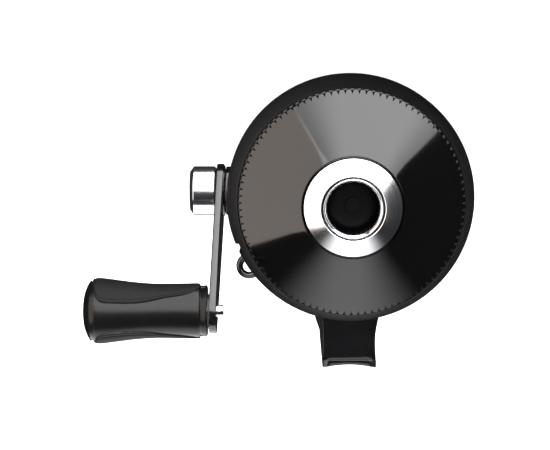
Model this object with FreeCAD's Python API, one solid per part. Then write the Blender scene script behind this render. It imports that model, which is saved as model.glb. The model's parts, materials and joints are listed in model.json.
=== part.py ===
import FreeCAD
import Part
import math
import os

# A closed-face (spincast) fishing reel, right-hand crank, millimetres.
# Every piece is drawn in the spool's own frame: X to the right as seen from the front, Y backwards
# along the spool's axis, Z up, with the origin on that axis in the plane of the body's widest ring.
# The last function moves everything so that the origin is the middle of the foot's underside.

V = FreeCAD.Vector
CENTRE = V(0, 0, 0)
X, Y, Z = V(1, 0, 0), V(0, 1, 0), V(0, 0, 1)

# ---- driving dimensions ----
AXIS_HEIGHT = 48.0        # spool axis above the middle of the foot's underside
BODY_RADIUS = 35.0        # widest ring of the body
BODY_FRONT = -11.3        # front face of the body, which the cover screws up to
BODY_RING_BACK = 4.0      # the widest ring ends here and the body starts to taper
BODY_BACK = 22.0          # joint between the body and the rear cover
BODY_BACK_RADIUS = 33.6
BODY_BORE = 30.0          # front bore, round the cover's collar and the deck
CHAMBER_RADIUS = 32.0     # wider room behind the deck, for the drive

COVER_RADIUS = 31.4       # knurled rim of the front cover
COVER_RIM = -14.0         # where the cone starts
COVER_TEETH = 100
COVER_WALL = 1.5
RING_RADIUS = 13.65       # polished ring round the line opening
RING_FRONT = -26.0
LIP_FRONT = -29.0
LINE_RADIUS = 7.1         # the opening that the line runs out of

CRANK_BACK = 17.5         # crank axis behind the widest ring
CRANK_LENGTH = 46.0       # crank axis to knob pin
CRANK_SWING = 50.0        # crank stored turned this far forward of straight down, degrees
CRANK_CANT = 1.0          # the arm leans outwards by this, degrees
ARM_THICKNESS = 2.1
ARM_OUTER_FACE = -38.4
ARM_CRANK_END = 7.9       # end radius of the arm under the nut
ARM_KNOB_END = 6.2
HUB_RADIUS = 7.4
HUB_THICKNESS = 2.5
SQUARE_HALF = 2.0         # half the square that drives the arm
NUT_RADIUS = 7.15
NUT_LENGTH = 7.65
BOSS_RADIUS = 7.1
BOSS_FACE = -35.7

KNOB_LENGTH = 34.1
KNOB_RADIUS = 9.1
KNOB_WAIST = 7.53
KNOB_PIN_RADIUS = 1.65

GEAR_MODULE = 0.5
GEAR_TEETH = 40
PINION_TEETH = 12

FOOT_LENGTH = 58.0
FOOT_WIDTH = 15.5
FOOT_THICKNESS = 2.0
FOOT_CURVE = 30.0         # radius of the hollow underside
FOOT_MIDDLE = 27.5        # middle of the foot behind the widest ring

FOOT_SCREWS = (6.0, 17.0)         # behind the widest ring
FOOT_SEAT = -47.12                # where the foot screws' heads sit in their counterbores

BUTTON_HALF = 9.0         # half the thumb button's width
BUTTON_GAP = 0.3
PIVOT_BACK = 34.0         # thumb button's pin
PIVOT_DROP = -9.0
PIVOT_PIN_RADIUS = 1.25

DECK_BACK = 2.5           # back face of the deck that carries the mechanism
DECK_SCREWS = (60, 180, 300)      # round the spool axis, degrees
DECK_SCREW_CIRCLE = 28.8
POSTS = (30, 150, 270)            # pillars from the deck to the rear cover, degrees
POST_CIRCLE = 24.5
LEDGE = (2.7, 5.0)        # ring inside the body that the deck is screwed to
TUBE_RADIUS = 6.5         # tube that the spool turns on
BRACKET_FRONT = 13.0      # bracket behind the drag dial

DIAL_HEIGHT = 24.4
DIAL_RADIUS = 9.2
DIAL_SPAN = (9.0, 12.2)
KEEPER_ANGLE = -146.3     # hook keeper, round the spool axis, degrees
KEEPER_CIRCLE = 34.3

ROTOR_RADIUS = 25.0
PICKUP_DEPTH = -11.5      # the pickup pin's place along the spool axis

SHAFT_RADIUS = 3.0        # crankshaft
BOSS_BORE = 6.0
BOSS_FLANGE_RADIUS = 9.5
FLANGE_SCREW = 8.2        # flange screws, from the crank axis
RACE = (-35.2, -32.2)     # ends of the crank's ball bearing
RACE_MIDDLE = 4.5
BALL_RADIUS = 0.75
CLUTCH = (-31.0, -18.0)   # ends of the one-way clutch

CLEAR = 0.05              # radial clearance of a running fit
LOCATING = 0.02           # radial clearance of a fit that doesn't turn
NUT_GAP = 0.14            # leaves room for the arm's lean under the nut
GEAR_PITCH = GEAR_MODULE * GEAR_TEETH / 2
CONE_SLOPE = (COVER_RIM - RING_FRONT) / (COVER_RADIUS - RING_RADIUS)


# ---- helpers ----
def cylinder(radius, start, end, axis=Y, centre=CENTRE):
    """A solid round bar along an axis, between two places on that axis."""
    return Part.makeCylinder(radius, end - start, centre + axis * start, axis)


def tube(outer, inner, start, end, axis=Y, centre=CENTRE):
    """A round bar with a hole right through it."""
    return cylinder(outer, start, end, axis, centre).cut(cylinder(inner, start - 1, end + 1, axis, centre))


def block(x0, x1, y0, y1, z0, z1):
    """A box between two corners."""
    return Part.makeBox(x1 - x0, y1 - y0, z1 - z0, V(x0, y0, z0))


def outline(steps, place):
    """A flat face. A step is a point for a straight side, or a pair (through, end) for an arc."""
    start = here = place(*steps[0])
    edges = []
    for step in steps[1:]:
        if isinstance(step[0], tuple):
            through, end = place(*step[0]), place(*step[1])
            edges.append(Part.Arc(here, through, end).toShape())
        else:
            end = place(*step)
            edges.append(Part.makeLine(here, end))
        here = end
    if here.distanceToPoint(start) > 1e-6:
        edges.append(Part.makeLine(here, start))
    return Part.Face(Part.Wire(edges))


def turned(*steps):
    """A solid turned about the spool axis from (radius, y) steps."""
    return outline(steps, lambda r, y: V(r, y, 0)).revolve(CENTRE, Y, 360)


def turned_about_x(steps, centre):
    """A solid turned about a line along X through centre, from (radius, x) steps."""
    face = outline(steps, lambda r, x: V(x, 0, r))
    return face.revolve(CENTRE, X, 360).translated(centre)


def front_shape(steps, y0, y1):
    """A front view of (x, z) steps, given a depth along Y."""
    return outline(steps, lambda x, z: V(x, y0, z)).extrude(Y * (y1 - y0))


def side_shape(steps, x0, x1):
    """A side view of (y, z) steps, given a width along X."""
    return outline(steps, lambda y, z: V(x0, y, z)).extrude(X * (x1 - x0))


def on_circle(radius, degrees, y=0.0):
    """A point round the spool axis; 0 degrees is +X and 90 degrees is up."""
    angle = math.radians(degrees)
    return V(radius * math.cos(angle), y, radius * math.sin(angle))


def fused(solids):
    """All the solids joined into one."""
    return solids[0].multiFuse(solids[1:]).removeSplitter()


def group(solids):
    """Separate solids kept in one node."""
    return Part.makeCompound(solids)


def coil(mean_radius, wire_radius, start, end, turns, axis, centre=CENTRE):
    """A compression spring along an axis, with room for its wire inside both ends."""
    height = end - start - 2 * wire_radius
    path = Part.makeHelix(height / turns, height, mean_radius)
    spot = Part.Wire(Part.Circle(V(mean_radius, 0, 0), Y, wire_radius).toShape())
    spring = Part.Wire(path.Edges).makePipeShell([spot], True, True)
    if axis != Z:
        spring.rotate(CENTRE, Z.cross(axis), 90)
    return spring.translated(centre + axis * (start + wire_radius))


def knurled_rim(radius, depth, teeth, start, end, centre=CENTRE):
    """A prism whose edge has flat teeth with narrow V grooves between them."""
    half_groove = 0.17    # share of a tooth's pitch
    points = []
    for tooth in range(teeth):
        for share, reach in ((-half_groove, radius), (0.0, radius - depth), (half_groove, radius)):
            points.append(on_circle(reach, (tooth + share) * 360 / teeth, start))
    prism = Part.Face(Part.makePolygon(points + points[:1])).extrude(Y * (end - start))
    return prism.translated(centre)


def cone_front(radius):
    """Where the cover's outer cone is at a radius."""
    return COVER_RIM - (COVER_RADIUS - radius) * CONE_SLOPE


def crank_line():
    """A point on the crank's axis, which runs along X."""
    return V(0, CRANK_BACK, 0)


# ---- front cover and nose ----
def front_cover():
    lip = 0.4
    behind = COVER_WALL + 0.3
    seat, seat_depth, floor = RING_RADIUS + 0.2, 2.4, 1.4
    seat_y = RING_FRONT + seat_depth
    floor_y = seat_y + floor
    floor_radius = COVER_RADIUS - (COVER_RIM + behind - floor_y) / CONE_SLOPE
    collar, collar_bore, collar_back = BODY_BORE - 0.25, 28.0, -5.0
    flange_back = BODY_FRONT - 0.3
    shell = turned(
        (COVER_RADIUS, flange_back),
        (COVER_RADIUS, COVER_RIM + lip),
        (COVER_RADIUS - lip, cone_front(COVER_RADIUS - lip)),
        (seat, cone_front(seat)),
        (seat, seat_y),
        (9.4, seat_y),
        (9.4, floor_y),
        (floor_radius, floor_y),
        (collar_bore, cone_front(collar_bore) + behind),
        (collar_bore, collar_back),
        (collar, collar_back),
        (collar, flange_back),
    )
    return shell.common(knurled_rim(COVER_RADIUS, 1.0, COVER_TEETH, RING_FRONT - 1, 0))


def nose_ring():
    inner, back = LINE_RADIUS + 1.25, RING_FRONT + 2.3
    return turned(
        (inner, back),
        (inner, LIP_FRONT + 0.4),
        (inner + 0.4, LIP_FRONT + 0.1),
        ((11.6, LIP_FRONT + 1.35), (RING_RADIUS - 0.3, RING_FRONT - 0.15)),
        (RING_RADIUS, RING_FRONT + 0.2),
        (RING_RADIUS, back),
    )


def line_guide():
    neck, flange, floor_back = 9.3, 11.0, RING_FRONT + 3.85
    front_radius = LINE_RADIUS + 1.05
    return turned(
        (LINE_RADIUS, floor_back + 0.8),
        (flange, floor_back + 0.8),
        (flange, floor_back),
        (neck, floor_back),
        (neck, RING_FRONT + 2.35),
        (front_radius, RING_FRONT + 2.35),
        (front_radius, LIP_FRONT + 0.3),
        (front_radius - 0.25, LIP_FRONT),
        (LINE_RADIUS, LIP_FRONT + 0.85),
    )


def cover_seal():
    """O-ring between the front cover's flange and the body."""
    return Part.makeTorus(31.0, 0.48, V(0, BODY_FRONT + 0.22, 0), Y)


# ---- body ----
def body_envelope():
    """The body's outside as a full solid, which other pieces are trimmed by."""
    return turned(
        (0, BODY_FRONT),
        (32.4, BODY_FRONT),
        ((34.25, -6.6), (BODY_RADIUS, -1.0)),
        (BODY_RADIUS, BODY_RING_BACK),
        (BODY_BACK_RADIUS, BODY_BACK),
        (0, BODY_BACK),
    )


def body_shell():
    room = turned(
        (0, BODY_FRONT - 1),
        (BODY_BORE, BODY_FRONT - 1),
        (BODY_BORE, LEDGE[0]),
        (27.5, LEDGE[0]),
        (27.5, LEDGE[1]),
        (CHAMBER_RADIUS, LEDGE[1] + 1.2),
        (CHAMBER_RADIUS, BODY_BACK + 1),
        (0, BODY_BACK + 1),
    )
    side_hole = cylinder(BOSS_RADIUS + 0.08, -45, -20, X, crank_line())
    dial_window = block(-6, 6, DIAL_SPAN[0] - 0.7, DIAL_SPAN[1] + 0.7, 28, 45)
    seal_groove = tube(31.6, 30.4, BODY_FRONT - 1, BODY_FRONT + 0.75)
    keeper_slot = block(33.7, 40, -12, 6, -1.35, 1.35)
    keeper_slot.rotate(CENTRE, Y, -(KEEPER_ANGLE - 10.0))
    screw_holes = [cylinder(0.72, 0, 4.8, Y, on_circle(DECK_SCREW_CIRCLE, a)) for a in DECK_SCREWS]
    flange_holes = [
        cylinder(0.82, -32.4, -26, X, V(0, CRANK_BACK, side * FLANGE_SCREW)) for side in (-1, 1)
    ]
    return body_envelope().cut(
        [room, side_hole, dial_window, seal_groove, keeper_slot] + screw_holes + flange_holes
    )


def hook_keeper():
    """Small loop that the hook is hung on when the line isn't in use."""
    ring = Part.makeTorus(2.7, 1.0, on_circle(KEEPER_CIRCLE, KEEPER_ANGLE, -4.0), Y)
    return ring.cut(body_envelope())


def rear_cover():
    shell = turned(
        (31.85, 19.2),
        (31.85, BODY_BACK + 0.1),
        (33.5, BODY_BACK + 0.1),
        ((30.2, 34.6), (21.0, 40.4)),
        (0, 41.0),
        (0, 39.0),
        (20.2, 38.5),
        ((28.3, 33.4), (30.4, 24.0)),
        (30.4, 19.2),
    )
    slot_half = BUTTON_HALF + BUTTON_GAP
    shell = shell.cut(block(-slot_half, slot_half, 18.9, 45, -6, 40))
    ears = [
        block(slot_half + 0.1, slot_half + 2.6, 30.6, 39.4, -12.5, -5.6),
        block(-slot_half - 2.6, -slot_half - 0.1, 30.6, 39.4, -12.5, -5.6),
    ]
    pin_hole = cylinder(PIVOT_PIN_RADIUS + 0.03, -20, 20, X, V(0, PIVOT_BACK, PIVOT_DROP))
    boss_notch = cylinder(BOSS_RADIUS + 0.08, -45, -20, X, crank_line())
    flange_notch = cylinder(BOSS_FLANGE_RADIUS + 0.1, -31, -20, X, crank_line())
    holes = []
    for angle in POSTS:
        spot = on_circle(POST_CIRCLE, angle)
        holes.append(cylinder(1.15, 30, 45, Y, spot))
        holes.append(cylinder(2.2, 37.6, 45, Y, spot))
    return fused([shell] + ears).cut([pin_hole, boss_notch, flange_notch] + holes)


def rear_cover_screws():
    return group([screw(on_circle(POST_CIRCLE, a), 2.0, 1.2, 0.88, 37.65, 28.4) for a in POSTS])


def screw(spot, head_radius, head_height, shank_radius, seat, tip):
    """A cross-slotted pan screw along Y: its head sits on seat and its shank ends at tip."""
    outward = 1 if seat > tip else -1
    top = seat + outward * head_height
    head = cylinder(head_radius, min(seat, top), max(seat, top), Y, spot)
    shank = cylinder(shank_radius, min(seat, tip), max(seat, tip), Y, spot)
    reach, half, depth = head_radius * 0.62, head_radius * 0.13, head_height * 0.5
    low, high = min(top, top - outward * depth), max(top, top - outward * depth)
    slots = [block(-a, a, low, high, -b, b).translated(spot) for a, b in ((reach, half), (half, reach))]
    return fused([head, shank]).cut(slots)


# ---- foot ----
def foot_section(y0, y1):
    """Curved strip of the foot, hollow below."""
    half = FOOT_WIDTH / 2
    rise = FOOT_CURVE - math.sqrt(FOOT_CURVE ** 2 - half ** 2)
    under, top = -AXIS_HEIGHT, -AXIS_HEIGHT + FOOT_THICKNESS
    return front_shape(
        [
            (-half, under - rise),
            ((0, under), (half, under - rise)),
            (half, top - rise),
            ((0, top), (-half, top - rise)),
        ],
        y0,
        y1,
    )


def foot_plate():
    front, back = FOOT_MIDDLE - FOOT_LENGTH / 2, FOOT_MIDDLE + FOOT_LENGTH / 2
    half, corner = FOOT_WIDTH / 2, 2.0
    plan = block(-half, half, front, back, -60, -30)
    plan = plan.makeFillet(corner, [e for e in plan.Edges if abs(e.tangentAt(e.FirstParameter).z) > 0.9])
    taper, tip_top, taper_top, above = 16.0, -46.55, -45.9, -44.0
    tapers = []
    for end, sign in ((front, -1), (back, 1)):
        inner = end - sign * taper
        tapers.append(side_shape([(end, tip_top), (inner, taper_top), (inner, above), (end, above)], -9, 9))
    holes = []
    for y in FOOT_SCREWS:
        holes.append(cylinder(1.3, -50, -40, Z, V(0, y, 0)))
        holes.append(cylinder(2.3, -50, FOOT_SEAT + 0.02, Z, V(0, y, 0)))
    return foot_section(front, back).common(plan).cut(tapers + holes)


def foot_stem():
    shoulder, waist, base = 8.85, 7.45, 7.75
    front = front_shape(
        [
            (-shoulder, -28),
            (-shoulder, -33.4),
            ((-waist - 0.15, -37.3), (-waist, -41.0)),
            ((-waist - 0.02, -43.5), (-base, -47.5)),
            (base, -47.5),
            ((waist + 0.02, -43.5), (waist, -41.0)),
            ((waist + 0.15, -37.3), (shoulder, -33.4)),
            (shoulder, -28),
        ],
        0,
        40,
    )
    side = side_shape(
        [(1.0, -27), (21.8, -27), (21.8, -35.0), ((25.5, -41.5), (31.0, -47.6)), (1.0, -47.6)], -12, 12
    )
    half = FOOT_WIDTH / 2
    solid_foot = foot_section(-10, 60).fuse(block(-half - 1, half + 1, -10, 60, -60, -48.9))
    holes = [cylinder(1.15, -50, -37.4, Z, V(0, y, 0)) for y in FOOT_SCREWS]
    return front.common(side).cut([body_envelope(), solid_foot] + holes)


def foot_screws():
    screws = []
    for y in FOOT_SCREWS:
        one = screw(CENTRE, 2.2, 0.85, 1.1, 0.0, 9.4)
        one.rotate(CENTRE, X, 90)
        screws.append(one.translated(V(0, y, FOOT_SEAT)))
    return group(screws)


# ---- deck, spool and drag ----
def deck_plate():
    plate = cylinder(BODY_BORE - 0.1, 0, DECK_BACK)
    posts = [cylinder(2.2, DECK_BACK - 0.5, 34.6, Y, on_circle(POST_CIRCLE, a)) for a in POSTS]
    legs = [block(side * 11.2 - 0.8, side * 11.2 + 0.8, 2, 14.4, 19, 24) for side in (-1, 1)]
    bracket = block(-12, 12, BRACKET_FRONT, 14.4, 19, 26.5)
    solid = fused([plate, cylinder(TUBE_RADIUS, -10.4, 1)] + posts + legs + [bracket])
    cuts = [cylinder(4.6, -12, 4), cylinder(2.5, -1, 4, Y, V(0, 0, DIAL_HEIGHT))]
    cuts.append(cylinder(1.28, 12, 16, Y, V(0, 0, DIAL_HEIGHT)))
    cuts += [cylinder(0.8, -1, 4, Y, on_circle(DECK_SCREW_CIRCLE, a)) for a in DECK_SCREWS]
    cuts += [cylinder(0.9, 27, 36, Y, on_circle(POST_CIRCLE, a)) for a in POSTS]
    return solid.cut(cuts)


def deck_screws():
    return group([screw(on_circle(DECK_SCREW_CIRCLE, a), 1.1, 0.8, 0.7, -0.02, 4.5) for a in DECK_SCREWS])


def pinion_bushing():
    return fused([tube(4.56, 2.95, -10.2, 2.55), tube(6.0, 2.95, 2.55, 3.3)])


def spool():
    bore = TUBE_RADIUS + 0.07
    return turned(
        (bore, -9.8), (21.2, -9.8), ((21.5, -9.5), (21.2, -8.8)), (13.6, -8.5), (13.0, -7.9),
        (13.0, -3.1), (13.6, -2.5), (25.6, -2.2), ((26.0, -1.6), (25.6, -1.0)), (bore, -1.0),
    )


def spool_washer():
    return tube(20.0, 7.0, -0.9, -0.1)


def pickup_cam():
    """Ring with two lobes that keeps the spool on its tube and brings the pickup pin out."""
    lobes = [block(5, 8.2, -12.0, -10.5, -1.5, 1.5), block(-8.2, -5, -12.0, -10.5, -1.5, 1.5)]
    return fused([tube(7.2, 3.5, -12.0, -10.5)] + lobes)


def drag_shoe():
    return cylinder(2.42, -0.6, 5.5, Y, V(0, 0, DIAL_HEIGHT))


def drag_spring():
    return coil(1.75, 0.3, 5.55, 8.95, 4, Y, V(0, 0, DIAL_HEIGHT))


def drag_screw():
    spot = V(0, 0, DIAL_HEIGHT)
    return fused([cylinder(1.2, 6.3, 14.9, Y, spot), cylinder(2.0, 14.7, 15.3, Y, spot)])


def drag_dial():
    spot = V(0, 0, DIAL_HEIGHT)
    rim = knurled_rim(DIAL_RADIUS, 0.5, 36, DIAL_SPAN[0], DIAL_SPAN[1], spot)
    hollow = tube(7.4, 3.2, DIAL_SPAN[0] - 1, DIAL_SPAN[0] + 1.0, Y, spot)
    return rim.cut([hollow, cylinder(1.22, 5, 16, Y, spot)])


# ---- rotor ----
def spinner_head():
    shell = turned(
        (ROTOR_RADIUS, -8.2),
        (ROTOR_RADIUS, -12.6),
        ((24.65, -13.4), (23.8, -13.75)),
        (7.5, -17.95),
        ((6.0, -18.3), (4.4, -18.4)),
        (1.52, -18.4),
        (1.52, -12.6),
        (4.2, -12.6),
        (4.2, -17.3),
        (23.6, -12.3),
        (23.6, -8.2),
    )
    return shell.cut(cylinder(1.0, 20, 30, Z, V(0, PICKUP_DEPTH, 0)))


def spinner_nut():
    return tube(1.95, 1.22, -19.9, -18.42)


def centre_shaft():
    shaft = fused([cylinder(1.5, -18.35, 24.8), cylinder(1.2, -20.2, -18)])
    return shaft.cut(block(-2, 2, -12, 14, 1.1, 3))


def pinion_gear():
    tip, root = GEAR_MODULE * (PINION_TEETH / 2 + 1), 2.4
    at_tip, at_root = math.degrees(math.asin(0.12 / tip)), math.degrees(math.asin(0.42 / root))
    points = []
    for tooth in range(PINION_TEETH):
        middle = 180 + tooth * 360 / PINION_TEETH
        for reach, turn in ((root, -at_root), (tip, -at_tip), (tip, at_tip), (root, at_root)):
            points.append(on_circle(reach, middle + turn, 6.2))
    teeth = Part.Face(Part.makePolygon(points + points[:1])).extrude(Y * 2.0)
    sleeve = cylinder(2.9, -11.0, 5.2)
    collar = cylinder(3.4, 4.7, 5.8)
    neck = cylinder(2.3, 5.5, 9.4)
    flat_bore = cylinder(1.5 + CLEAR, -12, 11).cut(block(-2, 2, -13, 12, 1.15, 3))
    return fused([sleeve, collar, neck, teeth]).cut(flat_bore)


def shaft_pusher():
    return cylinder(2.3, 22.0, 27.0).cut(cylinder(1.5 + CLEAR, 21, 25.0))


def shaft_spring():
    return coil(1.95, 0.3, 9.45, 21.95, 9, Y)


def pickup_pin():
    spot = V(0, PICKUP_DEPTH, 0)
    return fused([cylinder(0.9, 8.8, 26.0, Z, spot), cylinder(1.45, 9.8, 10.6, Z, spot)])


def pickup_guide():
    half, low, high, back = 2.2, 15.0, 21.5, -10.4
    lean = (17.3 - 12.3) / (23.6 - 4.2)
    face_low, face_high = (-17.2 + (z - 4.2) * lean for z in (low, high))
    body = side_shape([(back, low), (back, high), (face_high, high), (face_low, low)], -half, half)
    return body.cut(cylinder(0.95, 10, 25, Z, V(0, PICKUP_DEPTH, 0)))


def pickup_spring():
    return coil(1.35, 0.25, 10.65, 14.95, 4, Z, V(0, PICKUP_DEPTH, 0))


# ---- crank drive ----
def side_housing():
    line = crank_line()
    barrel = cylinder(BOSS_RADIUS, BOSS_FACE, -10.5, X, line)
    flange = cylinder(BOSS_FLANGE_RADIUS, -29.0, -27.2, X, line)
    cuts = [cylinder(BOSS_BORE, BOSS_FACE - 1, -15, X, line), cylinder(4.5, -16, -9, X, line)]
    cuts += [cylinder(0.85, -30, -26, X, V(0, CRANK_BACK, side * FLANGE_SCREW)) for side in (-1, 1)]
    return fused([barrel, flange]).cut(cuts)


def housing_screws():
    screws = []
    for side in (-1, 1):
        one = screw(CENTRE, 1.0, 0.7, 0.78, 0.0, -5.0)
        one.rotate(CENTRE, Z, -90)
        screws.append(one.translated(V(-27.18, CRANK_BACK, side * FLANGE_SCREW)))
    return group(screws)


def race(outer, inner):
    """One ring of the ball bearing, with its groove."""
    ring = tube(outer, inner, RACE[0], RACE[1], X, crank_line())
    middle = V(sum(RACE) / 2, CRANK_BACK, 0)
    return ring.cut(Part.makeTorus(RACE_MIDDLE, BALL_RADIUS + CLEAR, middle, X))


def crank_bearing_outer():
    return race(BOSS_BORE - 0.03, 5.0)


def crank_bearing_inner():
    return race(4.0, SHAFT_RADIUS + LOCATING)


def crank_bearing_balls():
    balls = []
    for number in range(10):
        angle = math.radians(number * 36)
        spot = V(sum(RACE) / 2, CRANK_BACK + RACE_MIDDLE * math.cos(angle), RACE_MIDDLE * math.sin(angle))
        balls.append(Part.makeSphere(BALL_RADIUS, spot))
    return group(balls)


def crank_bushing():
    return tube(4.47, SHAFT_RADIUS + CLEAR, -14.9, -10.7, X, crank_line())


def clutch_ring():
    return tube(BOSS_BORE - 0.03, 5.2, CLUTCH[0], CLUTCH[1], X, crank_line())


def clutch_rollers():
    rollers = []
    for number in range(8):
        angle = math.radians(number * 45)
        spot = V(0, CRANK_BACK + 4.6 * math.cos(angle), 4.6 * math.sin(angle))
        rollers.append(cylinder(0.52, CLUTCH[0] + 1.0, CLUTCH[1] - 1.0, X, spot))
    return group(rollers)


def clutch_sleeve():
    return tube(4.0, SHAFT_RADIUS + LOCATING, CLUTCH[0], CLUTCH[1], X, crank_line())


def crank_washer():
    return tube(3.9, SHAFT_RADIUS + CLEAR, -35.86, -35.26, X, crank_line())


def crankshaft():
    line = crank_line()
    journal = cylinder(SHAFT_RADIUS, -35.88, -7.2, X, line)
    stub = cylinder(2.2, -8, -3.9, X, line)
    half = SQUARE_HALF
    square = block(ARM_OUTER_FACE + 0.05, -35.5, CRANK_BACK - half, CRANK_BACK + half, -half, half)
    thread = cylinder(1.9, -44.0, -38.2, X, line)
    groove = tube(5, 2.5, -10.36, -9.64, X, line)
    return fused([journal, stub, square, thread]).cut(groove)


def crank_clip():
    ring = tube(4.4, 2.55, -10.3, -9.7, X, crank_line())
    return ring.cut(block(-11, -9, CRANK_BACK - 1.2, CRANK_BACK + 1.2, -6, 0))


def drive_gear():
    line = crank_line()
    top, root, disc_back = -2.62, -3.65, -6.6
    disc = cylinder(GEAR_PITCH + 1.4, disc_back, root, X, line)
    hub = cylinder(4.5, -8.7, disc_back + 0.5, X, line)
    holes = []
    for number in range(6):
        turn = math.radians(number * 60)
        holes.append(cylinder(1.7, -8, -3, X, line + V(0, math.cos(turn), math.sin(turn)) * 6.6))
    wide, narrow = 0.42, 0.17
    tooth = outline([(root - 0.2, -wide), (top, -narrow), (top, narrow), (root - 0.2, wide)],
                    lambda x, z: V(x, -GEAR_PITCH - 1.39, z)).extrude(Y * 2.0)
    teeth = []
    for number in range(GEAR_TEETH):
        one = tooth.copy()
        one.rotate(CENTRE, X, (number + 0.5) * 360 / GEAR_TEETH)
        teeth.append(one.translated(line))
    stub_holes = [cylinder(2.22, -12, 0, X, line), cylinder(SHAFT_RADIUS + LOCATING, -12, -7.2, X, line)]
    return fused([disc, hub] + teeth).cut(stub_holes + holes)


# ---- crank arm and knob ----
def swung(shape):
    """Turns a piece drawn on a straight-down crank to the stored crank position."""
    turned_shape = shape.copy()
    turned_shape.rotate(crank_line() + X * ARM_OUTER_FACE, Y, CRANK_CANT)
    turned_shape.rotate(crank_line(), X, -CRANK_SWING)
    return turned_shape


def knob_centre():
    """Where the knob's pin crosses the middle of the arm's thickness."""
    swing, cant = math.radians(CRANK_SWING), math.radians(CRANK_CANT)
    down = CRANK_LENGTH * math.cos(cant)
    across = ARM_OUTER_FACE + ARM_THICKNESS / 2 - CRANK_LENGTH * math.sin(cant)
    return V(across, CRANK_BACK - down * math.sin(swing), -down * math.cos(swing))


def tapered_bar(small, large, length):
    """A flat bar hanging down from the crank axis, rounded at both ends."""
    lean = math.asin((large - small) / length)
    side, drop = math.cos(lean), math.sin(lean)
    steps = [
        (-small * side, small * drop),
        ((0, small), (small * side, small * drop)),
        (large * side, -length + large * drop),
        ((0, -length - large), (-large * side, -length + large * drop)),
    ]
    bar = side_shape(steps, ARM_OUTER_FACE, ARM_OUTER_FACE + ARM_THICKNESS)
    return bar.translated(crank_line())


def crank_arm():
    line = crank_line()
    hub = cylinder(HUB_RADIUS, ARM_OUTER_FACE, ARM_OUTER_FACE + HUB_THICKNESS, X, line)
    hub = hub.makeFillet(0.35, [hub.Edges[0], hub.Edges[2]])
    arm = fused([swung(tapered_bar(ARM_CRANK_END, ARM_KNOB_END, CRANK_LENGTH)), hub])
    half = SQUARE_HALF + 0.03
    square_hole = block(-45, -30, CRANK_BACK - half, CRANK_BACK + half, -half, half)
    pin_hole = cylinder(KNOB_PIN_RADIUS + LOCATING, -6, 6, X, knob_centre())
    return arm.cut([square_hole, pin_hole])


def crank_nut():
    inner = ARM_OUTER_FACE - NUT_GAP
    outer = inner - NUT_LENGTH
    bore, edge = 1.95, 0.35
    dish, dish_depth, floor = 5.3, 0.5, 1.4
    return turned_about_x(
        [
            (bore, inner),
            (NUT_RADIUS - edge, inner),
            (NUT_RADIUS, inner - edge),
            (NUT_RADIUS, outer + edge),
            ((NUT_RADIUS - edge * 0.3, outer + 0.1), (NUT_RADIUS - edge, outer)),
            (dish, outer),
            (dish - 0.4, outer + dish_depth),
            (0, outer + dish_depth),
            (0, outer + floor),
            (bore, outer + floor),
        ],
        crank_line(),
    )


def knob_pin():
    centre = knob_centre()
    inside = ARM_THICKNESS / 2
    head = cylinder(KNOB_PIN_RADIUS, inside - 0.5, inside + 1.8, X, centre)
    head = head.makeFillet(0.3, [head.Edges[0]])
    shank = cylinder(KNOB_PIN_RADIUS, -26.0, inside, X, centre)
    end_cap = cylinder(2.6, -27.6, -26.0, X, centre)
    slot = block(inside + 1.0, inside + 3, -3, 3, -0.3, 0.3).translated(centre)
    return fused([head, shank, end_cap]).cut(slot)


def knob_washer():
    inner = -ARM_THICKNESS / 2
    return tube(4.6, KNOB_PIN_RADIUS + LOCATING, inner - 0.42, inner - 0.1, X, knob_centre())


def knob_sleeve():
    start = -ARM_THICKNESS / 2 - 0.5
    return tube(2.75, KNOB_PIN_RADIUS + CLEAR, -25.9, start, X, knob_centre())


def knob_grip():
    inner = -ARM_THICKNESS / 2 - 0.5
    outer = inner - KNOB_LENGTH
    pocket, pocket_end, sleeve_end = 2.95, -28.2, -25.9
    return turned_about_x(
        [
            (2.77, inner), (6.75, inner), ((7.05, inner - 0.12), (7.15, inner - 0.4)),
            (7.15, inner - 1.7), (7.68, inner - 2.1),
            ((KNOB_WAIST, -15.0), (8.1, -23.0)), ((8.65, -27.0), (KNOB_RADIUS, -31.6)),
            ((9.0, -32.6), (8.5, -33.6)), ((5.2, outer + 0.4), (1.0, outer)), (0, outer),
            (0, pocket_end), (pocket, pocket_end), (pocket, sleeve_end), (2.77, sleeve_end),
        ],
        knob_centre(),
    )


# ---- thumb button ----
def thumb_button():
    half = BUTTON_HALF
    paddle = side_shape(
        [
            (38.5, -5.8), ((41.7, 9.0), (38.9, 21.5)), ((36.3, 26.6), (31.0, 29.2)), (22.4, 29.4),
            (22.4, 27.6), (30.2, 27.2), ((34.6, 25.0), (36.6, 20.4)), ((38.8, 9.0), (35.4, -5.8)),
        ],
        -half,
        half,
    )
    web = side_shape([(31.6, -9), (36.5, -9.6), (38.5, -5.8), (35.4, -5.0)], -half + 0.2, half - 0.2)
    hub = cylinder(2.8, -half + 0.2, half - 0.2, X, V(0, PIVOT_BACK, PIVOT_DROP))
    tongue = block(-2, 2, 27.25, 38.6, -1.1, 1.1)
    bore = cylinder(PIVOT_PIN_RADIUS + CLEAR, -20, 20, X, V(0, PIVOT_BACK, PIVOT_DROP))
    return fused([paddle, web, hub, tongue]).cut([bore, thumb_ribs()])


def thumb_ribs():
    """Row of round ribs across the back of the thumb button."""
    count, first, step = 7, -14.0, 5.5
    curve, top, height, sunk = 28.0, 41.7, 9.0, 0.15
    ribs = []
    for number in range(count):
        turn = math.radians(first + number * step)
        spot = V(0, top - curve * (1 - math.cos(turn)) - sunk, height + curve * math.sin(turn))
        ribs.append(cylinder(0.55, -6.5, 6.5, X, spot))
    return group(ribs)


def thumb_grip():
    return thumb_ribs()


def button_pin():
    end = BUTTON_HALF + BUTTON_GAP + 2.5
    return cylinder(PIVOT_PIN_RADIUS, -end, end, X, V(0, PIVOT_BACK, PIVOT_DROP))


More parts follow.
